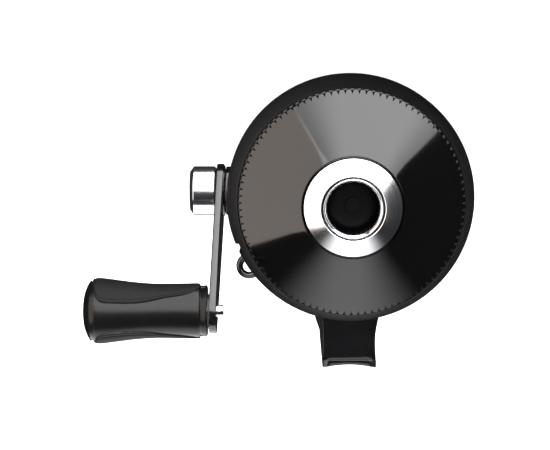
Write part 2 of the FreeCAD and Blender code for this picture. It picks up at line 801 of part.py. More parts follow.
PIECES = [
    front_cover, nose_ring, line_guide, cover_seal, body_shell, hook_keeper, rear_cover, rear_cover_screws,
    foot_plate, foot_stem, foot_screws, deck_plate, deck_screws, pinion_bushing, spool, spool_washer,
    pickup_cam, drag_shoe, drag_spring, drag_screw, drag_dial, spinner_head, spinner_nut, centre_shaft,
    pinion_gear, shaft_pusher, shaft_spring, pickup_pin, pickup_guide, pickup_spring, side_housing,
    housing_screws, crank_bearing_outer, crank_bearing_inner, crank_bearing_balls, crank_bushing,
    clutch_ring, clutch_rollers, clutch_sleeve, crank_washer, crankshaft, crank_clip, drive_gear,
    crank_arm, crank_nut, knob_pin, knob_washer, knob_sleeve, knob_grip, thumb_button, thumb_grip,
    button_pin,
]


def main():
    os.makedirs("parts", exist_ok=True)
    to_foot = V(0, -FOOT_MIDDLE, AXIS_HEIGHT)
    for piece in PIECES:
        shape = piece().translated(to_foot)
        shape.exportStep("parts/" + piece.__name__ + ".step")
        good = "" if shape.isValid() else "  NOT VALID"
        print(piece.__name__, len(shape.Solids), "solids", round(shape.Volume, 1), "mm3" + good)


main()
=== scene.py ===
# %% [markdown]
# # A closed-face fishing reel
# The mechanism comes in as a finished CAD frame. This notebook gives it its looks: the turned front cover
# with its knurled rim, the polished nose ring, the moulded body, the steel crank nut and the soft knob.
# Everything is placed from the frame, in metres, and nothing of the frame is moved.

# %% Load the frame
import bpy
import bmesh
import json
import math
from mathutils import Matrix, Vector


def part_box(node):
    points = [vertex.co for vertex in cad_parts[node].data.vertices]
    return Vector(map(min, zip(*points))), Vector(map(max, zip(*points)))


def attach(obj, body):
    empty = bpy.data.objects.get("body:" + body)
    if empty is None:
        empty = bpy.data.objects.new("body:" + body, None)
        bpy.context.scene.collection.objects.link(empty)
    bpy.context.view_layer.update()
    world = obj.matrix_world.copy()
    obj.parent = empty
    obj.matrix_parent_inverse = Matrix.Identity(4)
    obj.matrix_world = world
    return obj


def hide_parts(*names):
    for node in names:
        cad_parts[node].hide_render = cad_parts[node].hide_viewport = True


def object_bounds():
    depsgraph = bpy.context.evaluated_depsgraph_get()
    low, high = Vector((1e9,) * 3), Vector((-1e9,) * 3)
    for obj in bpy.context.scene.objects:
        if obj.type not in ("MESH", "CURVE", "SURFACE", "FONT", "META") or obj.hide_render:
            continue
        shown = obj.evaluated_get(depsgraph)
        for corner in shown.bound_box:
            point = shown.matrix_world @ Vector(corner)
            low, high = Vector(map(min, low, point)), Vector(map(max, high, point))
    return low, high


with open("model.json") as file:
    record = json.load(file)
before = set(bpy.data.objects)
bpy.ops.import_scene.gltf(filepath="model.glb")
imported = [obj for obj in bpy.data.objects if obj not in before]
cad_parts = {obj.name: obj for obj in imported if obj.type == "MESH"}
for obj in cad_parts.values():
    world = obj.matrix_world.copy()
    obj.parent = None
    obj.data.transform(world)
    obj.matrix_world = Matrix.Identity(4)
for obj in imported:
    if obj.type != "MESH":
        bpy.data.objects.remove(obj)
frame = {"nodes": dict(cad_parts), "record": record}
cad_low, cad_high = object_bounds()

# %% [markdown]
# ## Where things are
# A reel is laid out round its spool axis, so the helpers below speak millimetres from that axis: X to the
# right as seen from the front, Y backwards and Z up, from the plane of the body's widest ring. The axis
# and the main radii are read from the frame's boxes, so the looks follow the design if it changes.

# %% The spool axis and the main radii
MM = 0.001


def extent(node):
    """Lowest and highest corner of a CAD node, in millimetres."""
    low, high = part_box(node)
    return low / MM, high / MM


cover_low, cover_high = extent("front_cover")
body_low, body_high = extent("body_shell")
ring_low, ring_high = extent("nose_ring")
WIDEST_RING = 11.3        # the body's widest ring, behind its front edge
RIM_LENGTH = 9.0          # the cover's straight part, from its back edge to its cone
RING_DEPTH, LIP_LENGTH = 2.9, 3.0
AXIS = Vector(((cover_low.x + cover_high.x) / 2, body_low.y + WIDEST_RING,
               (cover_low.z + cover_high.z) / 2))
COVER_RADIUS = (cover_high.x - cover_low.x) / 2
BODY_RADIUS = (body_high.x - body_low.x) / 2
RING_RADIUS = (ring_high.x - ring_low.x) / 2
LINE_RADIUS = 7.1
COVER_RIM = cover_high.y - AXIS.y - RIM_LENGTH
RING_FRONT = ring_low.y - AXIS.y + RING_DEPTH
LIP_FRONT = RING_FRONT - LIP_LENGTH
CONE_SLOPE = (COVER_RIM - RING_FRONT) / (COVER_RADIUS - RING_RADIUS)
ORIGIN = Vector((0, 0, 0))
CRANK_LINE = Vector((0, 17.5, 0))


def spot(x, y, z):
    """A point in metres in the frame, from millimetres round the spool axis."""
    return (Vector((x, y, z)) + AXIS) * MM


def centre_of(node):
    """Middle of a CAD node's box, in millimetres round the spool axis."""
    low, high = extent(node)
    return (low + high) / 2 - AXIS


print("cover radius", round(COVER_RADIUS, 2), "body radius", round(BODY_RADIUS, 2), "mm")

# %% [markdown]
# ## Camera
# A long lens from a little above the spool axis and slightly to the crank's side. The long lens keeps the
# round body round, and the height shows the body's shoulder as a dark crescent above the cover.

# %% Camera
LENS, SENSOR = 121.1, 36.0
CAMERA_PITCH, CAMERA_YAW = 7.2, 0.46
CAMERA_SPOT = (-17.1, -521.0, 57.9)
camera_data = bpy.data.cameras.new("camera")
camera_data.lens, camera_data.sensor_width = LENS, SENSOR
camera = bpy.data.objects.new("camera", camera_data)
camera.location = spot(*CAMERA_SPOT)
camera.rotation_euler = (math.radians(90 - CAMERA_PITCH), 0, math.radians(CAMERA_YAW))
bpy.context.collection.objects.link(camera)
bpy.context.scene.camera = camera
print("camera at", [round(v, 3) for v in camera.location])

# %% [markdown]
# ## Floor, background and lights
# Glossy black shows nothing of itself: what the eye reads as its shape is the reflection of the studio.
# So the softboxes are placed by reflection. A cone has one normal along each straight line from its nose
# to its rim, and mirrors one direction of the room there, so a softbox's edge shows on it as a clean radial
# line. The function below mirrors the line of sight in that normal and hangs the softbox where it lands.

# %% Floor and background
FLOOR_DROP, FLOOR_HALF = 60.0, 6.0    # millimetres below the foot, and metres each way
FLOOR_GLOW = 0.1                      # lifts the far floor, so that it meets the background unseen


def hex_colour(code):
    """An sRGB hex colour as linear red, green, blue and alpha."""
    parts = [int(code[i:i + 2], 16) / 255 for i in (1, 3, 5)]
    return tuple(c / 12.92 if c <= 0.04045 else ((c + 0.055) / 1.055) ** 2.4 for c in parts) + (1.0,)


def add(tree, kind, sockets=None, **settings):
    """Adds a node, sets its properties, and gives its inputs a value or another node's output."""
    node = tree.nodes.new(kind)
    for name, value in settings.items():
        setattr(node, name, value)
    for key, value in (sockets or {}).items():
        if isinstance(value, bpy.types.NodeSocket):
            tree.links.new(value, node.inputs[key])
        else:
            node.inputs[key].default_value = value
    return node


def plain_material(name, colour, roughness, own_light):
    """A one-colour material with a little light of its own, for the floor alone."""
    material = bpy.data.materials.new(name)
    material.use_nodes = True
    shader = material.node_tree.nodes["Principled BSDF"]
    shader.inputs["Base Color"].default_value = hex_colour(colour)
    shader.inputs["Roughness"].default_value = roughness
    shader.inputs["Emission Color"].default_value = hex_colour(colour)
    shader.inputs["Emission Strength"].default_value = own_light
    return material


floor_mesh = bpy.data.meshes.new("floor")
floor_z = cad_low.z - FLOOR_DROP * MM
corners = [(x * FLOOR_HALF, y * FLOOR_HALF, floor_z) for x, y in ((-1, -1), (1, -1), (1, 1), (-1, 1))]
floor_mesh.from_pydata(corners, [], [(0, 1, 2, 3)])
floor = bpy.data.objects.new("floor", floor_mesh)
bpy.context.collection.objects.link(floor)
floor.data.materials.append(plain_material("pale_studio_floor", "#ffffff", 0.9, FLOOR_GLOW))
floor.visible_glossy = False

bpy.context.scene.view_settings.view_transform = "Standard"
world = bpy.data.worlds.new("studio")
bpy.context.scene.world = world
world.use_nodes = True
sky = world.node_tree
sky.nodes.clear()
rays = add(sky, "ShaderNodeLightPath").outputs
pale = add(sky, "ShaderNodeBackground", {"Color": hex_colour("#ffffff"), "Strength": 1.0})
dim = add(sky, "ShaderNodeBackground", {"Color": hex_colour("#f2f4ff"), "Strength": 0.035})
# the camera and the matt surfaces see the pale room, and the mirror-like ones see it dark
room = add(sky, "ShaderNodeMixShader", {0: rays["Is Diffuse Ray"], 1: dim.outputs[0], 2: pale.outputs[0]})
seen = add(sky, "ShaderNodeMixShader", {0: rays["Is Camera Ray"], 1: room.outputs[0], 2: pale.outputs[0]})
add(sky, "ShaderNodeOutputWorld", {"Surface": seen.outputs[0]})
print("floor at", round(floor_z, 4))

# %% Softboxes hung where the cone mirrors them
LIGHT_DISTANCE, NEAR_DISTANCE = 1.15, 0.4
CONE_LEAN = math.atan(CONE_SLOPE)
sight = Vector((0.03, 0.993, -0.113)).normalized()    # from the camera towards the nose


def mirrored(turn, lean=CONE_LEAN):
    """Where a cone's line at a clock angle (0 right, 90 below, 180 left) sends the line of sight."""
    out = math.radians(turn)
    normal = Vector((math.cos(out) * math.sin(lean), -math.cos(lean), -math.sin(out) * math.sin(lean)))
    return (sight - 2 * sight.dot(normal) * normal).normalized()


def softbox(name, first, last, height, radiance, colour, ramp=None, distance=LIGHT_DISTANCE,
            lean=CONE_LEAN):
    """An area light that fills the cone's reflection from one clock angle to another.

    ramp holds (place, brightness) stops along it; lean aims at a steeper or flatter face than the cone."""
    middle = spot(0, RING_FRONT, 0)
    ends = [middle + mirrored(turn, lean) * distance for turn in (first, last)]
    along = ends[1] - ends[0]
    place = (ends[0] + ends[1]) / 2
    back = (place - middle).normalized()
    across = (along - along.dot(back) * back).normalized()
    data = bpy.data.lights.new(name, "AREA")
    data.shape, data.size, data.size_y = "RECTANGLE", along.length, height
    data.energy = radiance * along.length * height * math.pi
    data.color = hex_colour(colour)[:3]
    light = bpy.data.objects.new(name, data)
    facing = Matrix((across, back.cross(across), back)).transposed()
    light.matrix_world = Matrix.Translation(place) @ facing.to_4x4()
    light.visible_camera = False
    bpy.context.collection.objects.link(light)
    if ramp:
        data.use_nodes = True
        nodes = data.node_tree
        nodes.nodes.clear()
        on_light = add(nodes, "ShaderNodeNewGeometry").outputs["Parametric"]
        split = add(nodes, "ShaderNodeSeparateXYZ", {0: on_light})
        curve = add(nodes, "ShaderNodeValToRGB", {0: split.outputs["X"]})
        curve.color_ramp.interpolation = "EASE"
        stops = curve.color_ramp.elements
        stops[0].position, stops[0].color = ramp[0][0], (ramp[0][1],) * 3 + (1,)
        stops[1].position, stops[1].color = ramp[-1][0], (ramp[-1][1],) * 3 + (1,)
        for place_on, level in ramp[1:-1]:
            stops.new(place_on).color = (level,) * 3 + (1,)
        shine = add(nodes, "ShaderNodeEmission", {"Strength": curve.outputs["Color"]})
        add(nodes, "ShaderNodeOutputLight", {"Surface": shine.outputs[0]})
    return light


softbox("softbox_left", 155.0, 240.5, 1.0, 3.3, "#fff3ea")
top_light = softbox("softbox_top", 237.0, 322.0, 1.95, 7.0, "#ffffff",
                    ((0.0, 0.45), (0.35, 1.0), (0.75, 1.0), (1.0, 0.6)))
softbox("softbox_right", 322.0, 395.0, 0.45, 0.7, "#ffffff", ((0.0, 1.0), (0.5, 0.6), (1.0, 0.0)),
        lean=math.radians(25))
glow = softbox("glow_below", 48.0, 137.0, 0.7, 2.4, "#ffffff",
               ((0.0, 0.0), (0.45, 1.0), (0.55, 1.0), (1.0, 0.0)), NEAR_DISTANCE)
crank_glow = softbox("glow_under_crank", 48.0, 137.0, 0.43, 3.0, "#ffffff", distance=NEAR_DISTANCE,
                     lean=math.radians(50))

# %% [markdown]
# ## Materials
# Each finish starts from what the real one is and how it was made. Colours are sRGB hex values, and every
# pattern's scale is a real size in millimetres. Bump heights are hundredths of a millimetre or less, as
# real turning marks and mould texture are. Each family of finishes is one function, so its pieces agree.
# Some blacks have a lower IOR than their material's own, which was set to match the object.

# %% A blank material
def blank(name, colour, roughness, metallic=0.0, ior=1.5):
    """A material with its uniform values on the shader, its tree and its object coordinates."""
    material = bpy.data.materials.new(name)
    material.use_nodes = True
    tree = material.node_tree
    shader = tree.nodes["Principled BSDF"]
    shader.inputs["Base Color"].default_value = hex_colour(colour)
    shader.inputs["Roughness"].default_value = roughness
    shader.inputs["Metallic"].default_value = metallic
    if not metallic:
        shader.inputs["IOR"].default_value = ior
    return material, tree, shader, add(tree, "ShaderNodeTexCoord").outputs["Object"]


# %% Turned and spun metal
def turned_metal(name, colour, low, high, pitch_mm, depth_mm, axis="Y", metallic=1.0, ior=1.5):
    """Metal off the lathe: the tool leaves fine rings, which make each highlight shimmer."""
    material, tree, shader, place = blank(name, colour, (low + high) / 2, metallic, ior)
    centre = tuple(spot(*(ORIGIN if axis == "Y" else CRANK_LINE)))
    flat = (1, 0, 1) if axis == "Y" else (1, 0, 0)
    local = add(tree, "ShaderNodeVectorMath", {0: place, 1: centre}, operation="SUBTRACT").outputs[0]
    across = add(tree, "ShaderNodeVectorMath", {0: local, 1: flat}, operation="MULTIPLY").outputs[0]
    far = add(tree, "ShaderNodeVectorMath", {0: across}, operation="LENGTH").outputs["Value"]
    rings = add(tree, "ShaderNodeTexNoise", {"W": far, "Scale": 1 / (pitch_mm * MM), "Detail": 2.0},
                noise_dimensions="1D").outputs["Fac"]
    rough = add(tree, "ShaderNodeMapRange", {"Value": rings, "To Min": low, "To Max": high})
    tree.links.new(rough.outputs["Result"], shader.inputs["Roughness"])
    raised = add(tree, "ShaderNodeBump", {"Height": rings, "Distance": depth_mm * MM, "Strength": 0.5})
    tree.links.new(raised.outputs["Normal"], shader.inputs["Normal"])
    return material


# %% Ground, plated and cast metal
def ground_metal(name, colour, low, high, grain_mm=0.8, depth_mm=0.004):
    """Small parts, ground, drawn or plated: a slightly cloudy shine over a very fine grain."""
    material, tree, shader, place = blank(name, colour, (low + high) / 2, 1.0)
    cloud = add(tree, "ShaderNodeTexNoise", {"Vector": place, "Scale": 1 / (grain_mm * MM), "Detail": 3.0})
    rough = add(tree, "ShaderNodeMapRange", {"Value": cloud.outputs["Fac"], "To Min": low, "To Max": high})
    tree.links.new(rough.outputs["Result"], shader.inputs["Roughness"])
    fine = add(tree, "ShaderNodeTexNoise", {"Vector": place, "Scale": 1 / (grain_mm * 0.3 * MM),
                                            "Detail": 2.0}).outputs["Fac"]
    raised = add(tree, "ShaderNodeBump", {"Height": fine, "Distance": depth_mm * MM, "Strength": 0.5})
    tree.links.new(raised.outputs["Normal"], shader.inputs["Normal"])
    return material


# %% Moulded plastic and rubber
DRIFT_MM = 7      # how wide the patches are where handling has changed the sheen


def moulded(name, colour, lighter, low, high, grain_mm, depth_mm, ior=1.5, strength=0.6):
    """Moulded in a textured tool: a fine even grain, a sheen that drifts, and rubbed lighter patches."""
    material, tree, shader, place = blank(name, colour, (low + high) / 2, 0.0, ior)
    drift = add(tree, "ShaderNodeTexNoise", {"Vector": place, "Scale": 1 / (DRIFT_MM * MM),
                                             "Detail": 3.0}).outputs["Fac"]
    rough = add(tree, "ShaderNodeMapRange", {"Value": drift, "To Min": low, "To Max": high})
    tree.links.new(rough.outputs["Result"], shader.inputs["Roughness"])
    shade = add(tree, "ShaderNodeMix", {"Factor": drift, 6: hex_colour(colour), 7: hex_colour(lighter)},
                data_type="RGBA")
    tree.links.new(shade.outputs[2], shader.inputs["Base Color"])
    grain = add(tree, "ShaderNodeTexNoise", {"Vector": place, "Scale": 1 / (grain_mm * MM), "Detail": 2.0})
    raised = add(tree, "ShaderNodeBump", {"Height": grain.outputs["Fac"], "Distance": depth_mm * MM,
                                          "Strength": strength})
    tree.links.new(raised.outputs["Normal"], shader.inputs["Normal"])
    return material


# %% Every finish of the reel
finish = {
    # turned aluminium, anodised black and sealed: the dyed glassy skin hides the metal, so it isn't
    # metallic, and it shows the room more than itself
    "cover_black": turned_metal("black_anodised_aluminium", "#030303", 0.05, 0.12, 0.42, 0.0012,
                                metallic=0.0),
    # stainless steel spun on a former and polished: bright, softened a little by the polishing rings
    "polished_steel": turned_metal("spun_stainless_steel", "#dcdcde", 0.12, 0.24, 0.3, 0.0015),
    # hardened guide ring, ground and lapped: the sharpest mirror on the reel
    "guide_steel": turned_metal("lapped_guide_steel", "#c4c4c8", 0.08, 0.16, 0.25, 0.001),
    # turned steel cap nut: lines run round it, so its highlights are long bands
    "nut_steel": turned_metal("turned_nut_steel", "#d3d3d6", 0.12, 0.26, 0.2, 0.002, axis="X"),
    # black anodised spinner head, left with its turning rings; its IOR of 1.15, below the skin's own, is
    # painted shade that keeps it as dark as the shade deep inside the nose
    "rotor_alloy": turned_metal("anodised_spinner_alloy", "#020203", 0.34, 0.46, 0.9, 0.02,
                                metallic=0.0, ior=1.15),
    # moulded in a finely spark-eroded tool: satin charcoal
    "body_plastic": moulded("satin_moulded_abs", "#151516", "#1b1b1c", 0.46, 0.56, 0.35, 0.01, 1.3),
    # moulded in a polished tool: deep gloss with a faint waviness
    "gloss_plastic": moulded("gloss_moulded_abs", "#040405", "#060607", 0.08, 0.15, 2.5, 0.004,
                             strength=0.4),
    # O-ring and grip rubber: dull, with a dusty bloom
    "seal_rubber": moulded("nitrile_rubber", "#0f0f0f", "#1a1a19", 0.55, 0.7, 0.3, 0.012, 1.48),
    # knob core, moulded in a blasted tool: satin, so its highlight is a soft band along it
    "knob_rubber": moulded("satin_knob_core", "#050505", "#090808", 0.26, 0.34, 0.25, 0.004, 1.3),
    # soft-touch panels moulded over the core: they swallow the light, with hardly a highlight
    "knob_panels": moulded("soft_touch_rubber", "#0c0c0c", "#121212", 0.5, 0.62, 0.3, 0.008, 1.16),
    # steel bar, powder coated gloss black: a faint orange peel
    "arm_black": moulded("gloss_powder_coat", "#050506", "#08080a", 0.12, 0.2, 0.9, 0.005, 1.52),
    # nylon with glass fibre: a dry charcoal sheen
    "spool_plastic": moulded("glass_filled_nylon", "#1b1b1e", "#242427", 0.4, 0.52, 0.3, 0.012),
    # slippery bearing plastic, black all through: a waxy, even sheen
    "acetal": moulded("black_acetal", "#1b1b1c", "#242425", 0.34, 0.46, 0.4, 0.006),
    # pressed wool: rough all over, with a fibrous mottle
    "felt": moulded("pressed_wool_felt", "#57514a", "#857d70", 0.9, 1.0, 0.25, 0.08, 1.4, 0.9),
    # ground to size: bright and nearly even
    "bearing_steel": ground_metal("ground_bearing_steel", "#c6c7ca", 0.1, 0.2),
    "shaft_steel": ground_metal("ground_shaft_steel", "#bcbdc0", 0.18, 0.3),
    # zinc plated: greyer, with soft cloudy highlights
    "screw_steel": ground_metal("zinc_plated_steel", "#a9abad", 0.25, 0.42),
    # turned bar, gone slightly dull
    "brass": ground_metal("turned_brass", "#c49a4a", 0.2, 0.34),
    # drawn through a die: dark, with a soft gleam
    "spring_steel": ground_metal("drawn_spring_wire", "#8f9194", 0.2, 0.34),
    # die cast and tumbled: a pebbled, duller skin
    "deck_alloy": ground_metal("die_cast_aluminium", "#9a9b9d", 0.34, 0.52, 1.4, 0.02),
    "gear_alloy": ground_metal("die_cast_zinc", "#8c8d90", 0.3, 0.46, 1.2, 0.015),
}
slot_of = {part["node"]: part["material_slot"] for part in frame["record"]["subparts"]}
SHADED_LIKE_HEAD = ("spinner_nut", "centre_shaft")    # steel pieces of the spinner, given its head's dark finish with the same painted shade
for node, item in frame["nodes"].items():
    item.data.materials.clear()
    item.data.materials.append(finish["rotor_alloy" if node in SHADED_LIKE_HEAD else slot_of[node]])
print(len(finish), "finishes on", len(slot_of), "nodes of the frame")

# %% [markdown]
# ## Mesh helpers
# Most of the reel is turned or moulded, so a few helpers make almost all of it. One traces an outline with
# arcs, one breaks its corners, one turns it round an axis and one pushes it along a line. A tiny rounding
# on each corner matters more than any texture, because it is what catches the light.

# %% Outlines
ON_AXIS = 1e-4       # a point nearer to the axis than this, in millimetres, is a pole


def traced(steps, fineness=14):
    """Points along straight sides and arcs. A step is (a, b), or a pair (through, end) for an arc."""
    points = [Vector(steps[0])]
    for step in steps[1:]:
        if not isinstance(step[0], tuple):
            points.append(Vector(step))
            continue
        start, through, end = points[-1], Vector(step[0]), Vector(step[1])
        (ax, ay), (bx, by), (cx, cy) = start, through, end
        scale = 2 * (ax * (by - cy) + bx * (cy - ay) + cx * (ay - by))
        aa, bb, cc = ax * ax + ay * ay, bx * bx + by * by, cx * cx + cy * cy
        centre = Vector(((aa * (by - cy) + bb * (cy - ay) + cc * (ay - by)) / scale,
                         (aa * (cx - bx) + bb * (ax - cx) + cc * (bx - ax)) / scale))
        first, mid, last = (math.atan2(p.y - centre.y, p.x - centre.x) for p in (start, through, end))
        sweep = (last - first) % math.tau
        if (mid - first) % math.tau > sweep:
            sweep -= math.tau
        radius = (start - centre).length
        for step_on in range(1, fineness + 1):
            turn = first + sweep * step_on / fineness
            points.append(centre + Vector((math.cos(turn), math.sin(turn))) * radius)
    return points


def softened(points, radius, steps=4, from_degrees=24):
    """The same closed outline with each sharp corner turned into a short arc."""
    soft = []
    for index, here in enumerate(points):
        before = points[index - 1] - here
        after = points[(index + 1) % len(points)] - here
        if min(before.length, after.length) < 1e-5 or here.x < ON_AXIS:
            soft.append(here)
            continue
        turn = math.pi - before.angle(after)
        if turn < math.radians(from_degrees):
            soft.append(here)
            continue
        reach = min(radius * math.tan(turn / 2), before.length * 0.45, after.length * 0.45)
        start, end = here + before.normalized() * reach, here + after.normalized() * reach
        for step in range(steps + 1):
            t = step / steps
            soft.append(start * (1 - t) ** 2 + here * 2 * t * (1 - t) + end * t ** 2)
    return soft


def smooth_curve(knots, count):
    """Evenly spread points on a smooth curve through knots (Catmull-Rom)."""
    points = []
    spans = len(knots) - 1
    for index in range(count):
        place = index / (count - 1) * spans
        span = min(int(place), spans - 1)
        t = place - span
        p0, p1, p2, p3 = (Vector(knots[min(max(span + k, 0), spans)]) for k in (-1, 0, 1, 2))
        points.append((p1 * 2 + (p2 - p0) * t + (p0 * 2 - p1 * 5 + p2 * 4 - p3) * t ** 2
                       + (p1 * 3 - p0 - p2 * 3 + p3) * t ** 3) / 2)
    return points


# %% Turned, pushed and cut solids
AXES = {"Y": (Vector((0, 1, 0)), Vector((1, 0, 0)), Vector((0, 0, 1))),
        "X": (Vector((1, 0, 0)), Vector((0, 1, 0)), Vector((0, 0, 1))),
        "Z": (Vector((0, 0, 1)), Vector((1, 0, 0)), Vector((0, 1, 0)))}
SMOOTH_BELOW = 32        # degrees
SAME_POINT = 2e-7        # metres
ROUND_TURNS = (0, 0.4, 0.8, 1.2, math.pi / 2)


def smoothed(piece):
    """Smooth faces, with a crisp line wherever two faces meet at a sharp angle."""
    piece.data.polygons.foreach_set("use_smooth", [True] * len(piece.data.polygons))
    piece.data.set_sharp_from_angle(angle=math.radians(SMOOTH_BELOW))
    return piece


def finished(name, tools):
    """Makes an object of a bmesh, with doubles merged and normals outwards."""
    bmesh.ops.remove_doubles(tools, verts=tools.verts, dist=SAME_POINT)
    bmesh.ops.recalc_face_normals(tools, faces=tools.faces)
    mesh = bpy.data.meshes.new(name)
    tools.to_mesh(mesh)
    tools.free()
    piece = bpy.data.objects.new(name, mesh)
    bpy.context.collection.objects.link(piece)
    return smoothed(piece)


def turned(name, outline, axis="Y", middle=ORIGIN, steps=256, reach=None):
    """Turns a closed outline of (radius, along) points round an axis through middle.

    reach(radius, along, angle) may change a point's radius."""
    along, side, up = AXES[axis]
    tools = bmesh.new()
    rings = []
    for radius, place in outline:
        if radius < ON_AXIS:
            rings.append([tools.verts.new(spot(*(middle + along * place)))] * steps)
            continue
        ring = []
        for step in range(steps):
            angle = step / steps * math.tau
            out = reach(radius, place, angle) if reach else radius
            out_line = side * math.cos(angle) + up * math.sin(angle)
            ring.append(tools.verts.new(spot(*(middle + along * place + out_line * out))))
        rings.append(ring)
    for one, two in zip(rings, rings[1:] + rings[:1]):
        for step in range(steps):
            after = (step + 1) % steps
            loop = [one[step], one[after], two[after], two[step]]
            loop = [v for i, v in enumerate(loop) if v not in loop[:i]]
            if len(loop) > 2:
                tools.faces.new(loop)
    return finished(name, tools)


def stacked(name, rings):
    """Joins rings of the same number of points, in millimetres, and closes both ends."""
    tools = bmesh.new()
    rows = [[tools.verts.new(spot(*point)) for point in ring] for ring in rings]
    for one, two in zip(rows, rows[1:]):
        for index in range(len(one)):
            after = (index + 1) % len(one)
            tools.faces.new([one[index], one[after], two[after], two[index]])
    tools.faces.new(rows[0][::-1])
    tools.faces.new(rows[-1])
    return finished(name, tools)


def pushed(name, outline, place, start, end, edge=0.0):
    """Pushes a closed outline from start to end with rounded edges. place(a, b, depth) gives each point."""
    points = [Vector(p) for p in outline]
    count = len(points)
    area = sum(points[i - 1].x * points[i].y - points[i].x * points[i - 1].y for i in range(count))
    sign = -1 if area > 0 else 1
    inward = []
    for index in range(count):
        side = (points[(index + 1) % count] - points[index - 1]).normalized()
        inward.append(Vector((side.y, -side.x)) * sign)
    rings = [(start, 0), (end, 0)]
    if edge:
        rounds = [(edge * (1 - math.cos(t)), edge * (1 - math.sin(t))) for t in ROUND_TURNS]
        rings = [(start + back, pull) for back, pull in rounds]
        rings += [(end - back, pull) for back, pull in rounds[::-1]]
    return stacked(name, [[place(*(points[i] + inward[i] * pull), depth) for i in range(count)]
                          for depth, pull in rings])


def settled(piece):
    """Applies a piece's modifiers: its evaluated mesh becomes its own."""
    bpy.context.view_layer.update()
    ready = piece.evaluated_get(bpy.context.evaluated_depsgraph_get())
    mesh = bpy.data.meshes.new_from_object(ready)
    piece.modifiers.clear()
    mesh.name = piece.name
    piece.data = mesh
    return smoothed(piece)


def joined(piece, *others, how="DIFFERENCE"):
    """Cuts other solids out of a piece, or adds them to it, and removes them."""
    for other in others:
        step = piece.modifiers.new("solid", "BOOLEAN")
        step.operation, step.solver, step.object = how, "EXACT", other
    settled(piece)
    for other in others:
        bpy.data.objects.remove(other)
    return piece


def box_of(x0, x1, y0, y1, z0, z1, turn=0.0):
    """A box to cut with, turned about the spool axis."""
    spin = Matrix.Rotation(math.radians(turn), 3, "Y")
    flat = [Vector((x, z)) for x, z in ((x0, z0), (x1, z0), (x1, z1), (x0, z1))]
    return pushed("cutter", flat, lambda a, b, depth: spin @ Vector((a, depth, b)), y0, y1)


def rod_of(radius, start, end, axis, middle, steps=64):
    """A round bar to cut with."""
    outline = [Vector(p) for p in ((0, start), (radius, start), (radius, end), (0, end))]
    return turned("cutter", outline, axis, middle, steps)


def shown(piece, body, material_slot, *nodes):
    """Gives a piece its finish, its body and the CAD nodes that it stands for."""
    piece.data.materials.clear()
    piece.data.materials.append(finish[material_slot])
    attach(piece, body)
    if nodes:
        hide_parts(*nodes)
    if body in ("crank", "knob") or "keeper" in piece.name:
        piece.visible_glossy = False    # keeps the crank's own image out of the mirror-like cone
    low = Vector([min(v.co[i] for v in piece.data.vertices) for i in range(3)])
    high = Vector([max(v.co[i] for v in piece.data.vertices) for i in range(3)])
    for node in nodes[:1]:
        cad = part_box(node)
        gap = max(abs(a - b) for pair in zip((low, high), cad) for a, b in zip(*pair))
        print(piece.name, len(piece.data.polygons), "faces,", round(gap / MM, 2), "mm off the frame's box")
    return piece


# %% [markdown]
# ## What repeats, with Geometry Nodes
# Two node trees make everything that repeats. One turns copies of a small shape round a line, which gives
# ribs, screws, balls and rollers. The other cuts a knurl: it reads each point's angle round an axis and
# pulls the point in where a groove runs, the way a form tool does, so no tooth is modelled by hand.

# %% Copies turned round a line
def new_tree(name, inputs):
    """An empty geometry tree with a geometry output and the named inputs."""
    tree = bpy.data.node_groups.new(name, "GeometryNodeTree")
    for title, kind in inputs:
        tree.interface.new_socket(title, in_out="INPUT", socket_type="NodeSocket" + kind)
    tree.interface.new_socket("Geometry", in_out="OUTPUT", socket_type="NodeSocketGeometry")
    return tree, add(tree, "NodeGroupInput").outputs


def run_tree(piece, tree, values):
    """Sets a tree's inputs by their identifiers and keeps its result as a plain mesh."""
    step = piece.modifiers.new(tree.name, "NODES")
    step.node_group = tree
    for item in tree.interface.items_tree:
        if item.item_type == "SOCKET" and item.in_out == "INPUT" and item.name in values:
            step[item.identifier] = values[item.name]
    return settled(piece)


repeat, given = new_tree("repeat_round", [("Geometry", "Geometry"), ("Piece", "Object"), ("Count", "Int"),
                                          ("Centre", "Vector"), ("Axis", "Vector"), ("First", "Float"),
                                          ("Step", "Float"), ("Material", "Material")])
single = add(repeat, "GeometryNodeObjectInfo", {"Object": given["Piece"]})
row = add(repeat, "GeometryNodePoints", {"Count": given["Count"]})
number = add(repeat, "GeometryNodeInputIndex")
turn_by = add(repeat, "ShaderNodeMath", {0: number.outputs[0], 1: given["Step"], 2: given["First"]},
              operation="MULTIPLY_ADD")
placed = add(repeat, "GeometryNodeInstanceOnPoints", {"Points": row.outputs[0],
                                                      "Instance": single.outputs["Geometry"]})
spin = add(repeat, "FunctionNodeAxisAngleToRotation", {"Axis": given["Axis"], "Angle": turn_by.outputs[0]})
spun = add(repeat, "GeometryNodeRotateInstances", {
    "Instances": placed.outputs[0], "Rotation": spin.outputs[0], "Pivot Point": given["Centre"],
    "Local Space": False})
real = add(repeat, "GeometryNodeRealizeInstances", {0: spun.outputs[0]})
done = add(repeat, "GeometryNodeSetMaterial", {"Geometry": real.outputs[0], "Material": given["Material"]})
add(repeat, "NodeGroupOutput", {0: done.outputs[0]})


def copies(name, piece, count, middle, axis, first, step, material_slot):
    """Turned copies of a piece, first and step in degrees; the single piece is removed."""
    holder = bpy.data.objects.new(name, bpy.data.meshes.new(name))
    bpy.context.collection.objects.link(holder)
    run_tree(holder, repeat, {"Piece": piece, "Count": count, "Centre": tuple(spot(*middle)), "Axis": axis,
                              "First": math.radians(first), "Step": math.radians(step),
                              "Material": finish[material_slot]})
    bpy.data.objects.remove(piece)
    print(name, count, "copies,", len(holder.data.polygons), "faces")
    return holder


